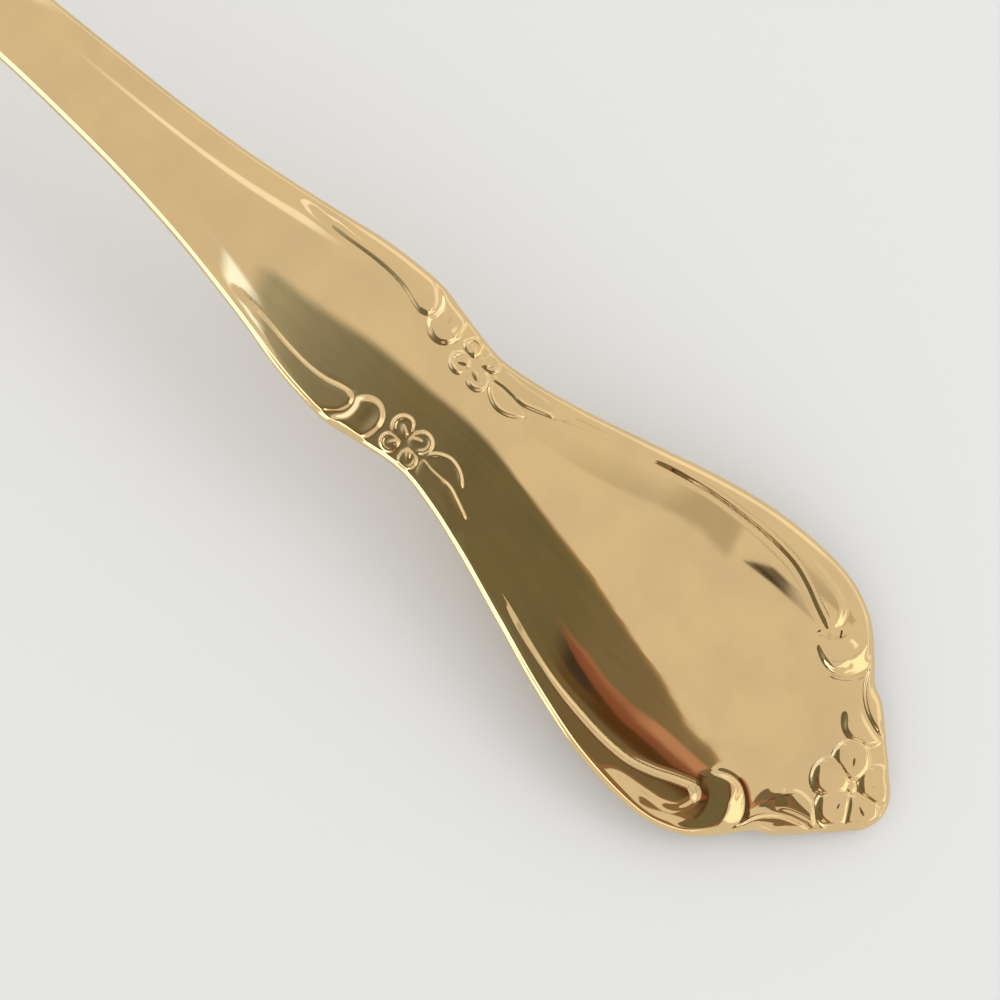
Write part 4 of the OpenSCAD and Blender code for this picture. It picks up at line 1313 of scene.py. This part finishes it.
class CardFace:
    """The looks of the dark card, painted reflections: one warm band, one blotch and fine streaks all over.
    """

    def __init__(self, tree):
        self.maths = maths = Maths(tree)
        place = tree.nodes.new("ShaderNodeTexCoord").outputs["Object"]
        split = tree.nodes.new("ShaderNodeSeparateXYZ")
        tree.links.new(place, split.inputs[0])
        x, y = (maths.times(socket, MILLIMETRES) for socket in split.outputs[:2])
        self.streaks = self.fine_streaks(tree, place)
        high, low = maths.line(x, BAND_HIGH), maths.line(x, BAND_LOW)
        self.axes = {"x": x, "y": y, "below": maths.minus(maths.line(x, CARD_EDGE), y),
                     "up": maths.over(maths.minus(y, low), maths.minus(high, low))}

    def fine_streaks(self, tree, place):
        """Noise drawn out along x, from 0 to 1."""
        mapping = tree.nodes.new("ShaderNodeMapping")
        mapping.inputs["Scale"].default_value = STREAK_STRETCH
        mapping.inputs["Rotation"].default_value = (0, 0, STREAK_TURN)
        tree.links.new(place, mapping.inputs["Vector"])
        texture = tree.nodes.new("ShaderNodeTexNoise")
        texture.inputs["Scale"].default_value = 1.0
        texture.inputs["Detail"].default_value = STREAK_DETAIL
        tree.links.new(mapping.outputs["Vector"], texture.inputs["Vector"])
        return texture.outputs["Fac"]

    def part(self, name):
        """1 in one of the card's parts."""
        return self.maths.patch(self.axes, CARD_PARTS[name])

    def ragged(self, size):
        """A shift of a place that makes an edge uneven."""
        return self.maths.times(self.maths.minus(self.streaks, 0.5), size)

    def cover(self):
        """1 where the card is, and 0 where the room shows past it."""
        maths, x, y = self.maths, self.axes["x"], self.axes["y"]
        softer = maths.times(maths.fade(x, *CARD_EDGE_SOFTENS), CARD_EDGE_SOFTER)
        below = maths.plus(self.axes["below"], self.ragged(CARD_RAGGED))
        far_edge = maths.fade(maths.over(below, maths.plus(CARD_EDGE_SOFTNESS, softer)), -1.0, 1.0)
        steps = [maths.times(maths.fade(y, *places), size) for places, size in RIGHT_EDGE_STEPS]
        beyond = maths.minus(x, maths.plus(RIGHT_EDGE, *steps))
        right_edge = maths.fade(beyond, RIGHT_SOFTNESS, -RIGHT_SOFTNESS)
        dark = maths.times(far_edge, right_edge, self.part("start"))
        return maths.do("MAXIMUM", dark, self.part("pale"))

    def tone(self):
        """The colour of the card."""
        maths, part, blend = self.maths, self.part, self.maths.blend
        band = blend(part("hot end"), maths.ramp(self.axes["up"], BAND_TONES), HOT_TONE)
        under = blend(part("dark brown"), DARK_OLIVE, DARK_BROWN)
        under = blend(part("low brown"), under, LOW_BROWN)
        under = blend(part("near rim"), under, NEAR_RIM)
        warm = blend(part("under band"), band, under)
        warm = blend(part("far right"), warm, blend(part("far brown"), FAR_OLIVE, FAR_BROWN))
        warm = blend(part("glint"), warm, CEILING)
        tone = blend(part("fringe"), maths.tones_along(self.axes["x"], CARD_TONES), FRINGE_TONE)
        tone = blend(part("warm"), tone, warm)
        tone = blend(part("upper"), tone, CEILING)
        blotch = maths.ramp(maths.fade(self.streaks, *BLOTCH_STREAKS), BLOTCH_TONES)
        return blend(self.blotch(), tone, blotch)

    def blotch(self):
        """1 in the small blotch, a painted dark reflection, which stands on a ragged foot under a leaning
        roof.
        """
        maths, x, y, soft = self.maths, self.axes["x"], self.axes["y"], BLOTCH_SOFTNESS
        foot = maths.plus(BLOTCH_FOOT, maths.times(maths.minus(x, BLOTCH_FOOT_START), BLOTCH_FOOT_LEAN))
        climb = maths.plus(maths.minus(y, foot), self.ragged(BLOTCH_RAGGED))
        roof = maths.plus(BLOTCH_ROOF, maths.times(maths.minus(x, BLOTCH_ROOF_START), BLOTCH_ROOF_LEAN))
        over_roof = maths.minus(y, maths.do("MINIMUM", BLOTCH_TOP, roof))
        return maths.times(maths.fade(climb, -soft, soft), maths.fade(over_roof, soft, -soft),
                           self.part("blotch"))

    def strength(self):
        """How bright the card is: streaky, but even on its upper part."""
        maths, upper = self.maths, self.part("upper")
        streaky = maths.plus(DIMMEST_STREAK, maths.times(self.streaks, STREAK_STRENGTH))
        return maths.plus(maths.times(streaky, maths.minus(1.0, upper)), upper)


def card_paint():
    """A glow of the card's own tones, which paint reflections into the gold, clear where the card isn't."""
    material = bpy.data.materials.new("dark_card_face")
    material.use_nodes = True
    tree = material.node_tree
    tree.nodes.clear()
    face = CardFace(tree)
    glow = tree.nodes.new("ShaderNodeEmission")
    tree.links.new(face.tone(), glow.inputs["Color"])
    tree.links.new(face.strength(), glow.inputs["Strength"])
    clear = tree.nodes.new("ShaderNodeBsdfTransparent")
    mix = tree.nodes.new("ShaderNodeMixShader")
    tree.links.new(face.cover(), mix.inputs[0])
    tree.links.new(clear.outputs[0], mix.inputs[1])
    tree.links.new(glow.outputs[0], mix.inputs[2])
    tree.links.new(mix.outputs[0], tree.nodes.new("ShaderNodeOutputMaterial").inputs["Surface"])
    return material


def hang_dark_card():
    """A glowing dark card with one warm band, level above the spoon: painted reflections seen only in the
    gold.
    """
    (left, right), (bottom, top) = CARD_SIDES, CARD_ENDS
    mesh = bpy.data.meshes.new("dark_card")
    corners = [(x, y, CARD_HEIGHT) for x, y in ((left, bottom), (right, bottom), (right, top), (left, top))]
    mesh.from_pydata(corners, [], [(0, 3, 2, 1)])
    mesh.materials.append(card_paint())
    card = add_to_scene("dark_card", mesh)
    for kind in ("camera", "diffuse", "transmission", "volume_scatter", "shadow"):
        setattr(card, "visible_" + kind, False)


# The lamp and the camera

LAMP_SPOT = Vector((0.35, 0.5, 0.9))
LAMP_SIZE = 0.5
CAMERA_SPOT = Vector((0.04483, -0.02254, 0.1478))
CAMERA_RIGHT = Vector((0.7542, 0.6493, 0.0980))
CAMERA_UP = Vector((-0.6567, 0.7461, 0.1099))
CAMERA_LENS = 81.67
CAMERA_SENSOR = 36.0
CAMERA_NEAREST = 0.005
CAMERA_FARTHEST = 20.0


def hang_lamp(power):
    """A soft square lamp that lights the floor and the spoon, without a glare of its own in the gold."""
    data = bpy.data.lights.new("main_lamp", "AREA")
    data.shape = "SQUARE"
    data.size = LAMP_SIZE
    data.energy = power
    lamp = add_to_scene("main_lamp", data)
    lamp.location = LAMP_SPOT
    lamp.rotation_mode = "QUATERNION"
    lamp.rotation_quaternion = (-LAMP_SPOT).to_track_quat("-Z", "Y")
    lamp.visible_glossy = False


def place_camera():
    """The camera, where the fit of the outline puts it."""
    data = bpy.data.cameras.new("camera")
    data.lens = CAMERA_LENS
    data.sensor_width = CAMERA_SENSOR
    data.clip_start = CAMERA_NEAREST
    data.clip_end = CAMERA_FARTHEST
    camera = add_to_scene("camera", data)
    back = CAMERA_RIGHT.cross(CAMERA_UP).normalized()
    right = CAMERA_RIGHT.normalized()
    turn = Matrix((right, back.cross(right), back)).transposed().to_4x4()
    camera.matrix_world = Matrix.Translation(CAMERA_SPOT) @ turn
    bpy.context.scene.camera = camera


# Operators

class TEASPOON_OT_body(bpy.types.Operator):
    """Makes the bowl, the neck, the stem, the waist and the handle end"""
    bl_idname = "teaspoon.body"
    bl_label = "Body"

    def execute(self, context):
        skin = whole_skin()
        handle = skin.blank.handle
        for name, (low, high) in BODY_SHARES.items():
            body_piece(skin, name, low * handle, high * handle)
        body_piece(skin, "bowl", handle, skin.blank.size.overall_length)
        return {"FINISHED"}


def raise_both_sides(*names):
    """Makes each of the forms on the left and on the right."""
    for name in names:
        for side in SIDES:
            raised_piece(whole_skin(), "%s_%s" % (name, side))


class TEASPOON_OT_rims(bpy.types.Operator):
    """Makes the raised rims along the stem and the end panel"""
    bl_idname = "teaspoon.rims"
    bl_label = "Rims"

    def execute(self, context):
        raise_both_sides("stem_rim", "end_rim")
        return {"FINISHED"}


class TEASPOON_OT_scrolls(bpy.types.Operator):
    """Makes the rolled scrolls round the noses of the rims"""
    bl_idname = "teaspoon.scrolls"
    bl_label = "Scrolls"

    def execute(self, context):
        raise_both_sides("shoulder_scroll", "end_scroll")
        return {"FINISHED"}


class TEASPOON_OT_leaves(bpy.types.Operator):
    """Makes the pointed leaves at the waist and the tip"""
    bl_idname = "teaspoon.leaves"
    bl_label = "Leaves"

    def execute(self, context):
        raise_both_sides("waist_inner_leaf", "waist_outer_leaf", "tip_inner_leaf", "tip_outer_leaf")
        return {"FINISHED"}


class TEASPOON_OT_blossoms(bpy.types.Operator):
    """Makes the two waist blossoms and the blossom at the tip"""
    bl_idname = "teaspoon.blossoms"
    bl_label = "Blossoms"

    def execute(self, context):
        raise_both_sides("waist_blossom")
        raised_piece(whole_skin(), "tip_blossom")
        return {"FINISHED"}


class TEASPOON_OT_stage(bpy.types.Operator):
    """Makes the floor, the room light, the dark card, the lamp and the camera"""
    bl_idname = "teaspoon.stage"
    bl_label = "Stage"

    def execute(self, context):
        look = context.scene.teaspoon_stage
        build_floor(look.floor)
        light_room(look.floor)
        hang_dark_card()
        hang_lamp(look.lamp_power)
        place_camera()
        context.scene.view_settings.view_transform = "Standard"
        return {"FINISHED"}


STEPS = (TEASPOON_OT_body, TEASPOON_OT_rims, TEASPOON_OT_scrolls, TEASPOON_OT_leaves, TEASPOON_OT_blossoms,
         TEASPOON_OT_stage)
SETTINGS = {"teaspoon_blank": TeaspoonBlank, "teaspoon_relief": TeaspoonRelief,
            "teaspoon_finish": TeaspoonFinish, "teaspoon_stage": TeaspoonStage}


class TEASPOON_PT_panel(bpy.types.Panel):
    """Sizes, colours and steps of the teaspoon"""
    bl_idname = "TEASPOON_PT_panel"
    bl_label = "Teaspoon"
    bl_space_type = "VIEW_3D"
    bl_region_type = "UI"
    bl_category = "Teaspoon"

    def draw(self, context):
        for key, group in SETTINGS.items():
            box = self.layout.box()
            box.label(text=group.__doc__)
            for name in group.__annotations__:
                box.prop(getattr(context.scene, key), name)
        for step in STEPS:
            self.layout.operator(step.bl_idname)


def register():
    """Makes the classes and their settings known to Blender."""
    for cls in (*SETTINGS.values(), *STEPS, TEASPOON_PT_panel):
        bpy.utils.register_class(cls)
    for key, group in SETTINGS.items():
        setattr(bpy.types.Scene, key, bpy.props.PointerProperty(type=group))


def unregister():
    """Takes the classes and their settings away again."""
    for key in SETTINGS:
        delattr(bpy.types.Scene, key)
    for cls in (TEASPOON_PT_panel, *reversed(STEPS), *SETTINGS.values()):
        bpy.utils.unregister_class(cls)


def main():
    """Makes the spoon and its stage."""
    register()
    for step in STEPS:
        group, name = step.bl_idname.split(".")
        getattr(getattr(bpy.ops, group), name)()


if __name__ == "__main__":
    main()
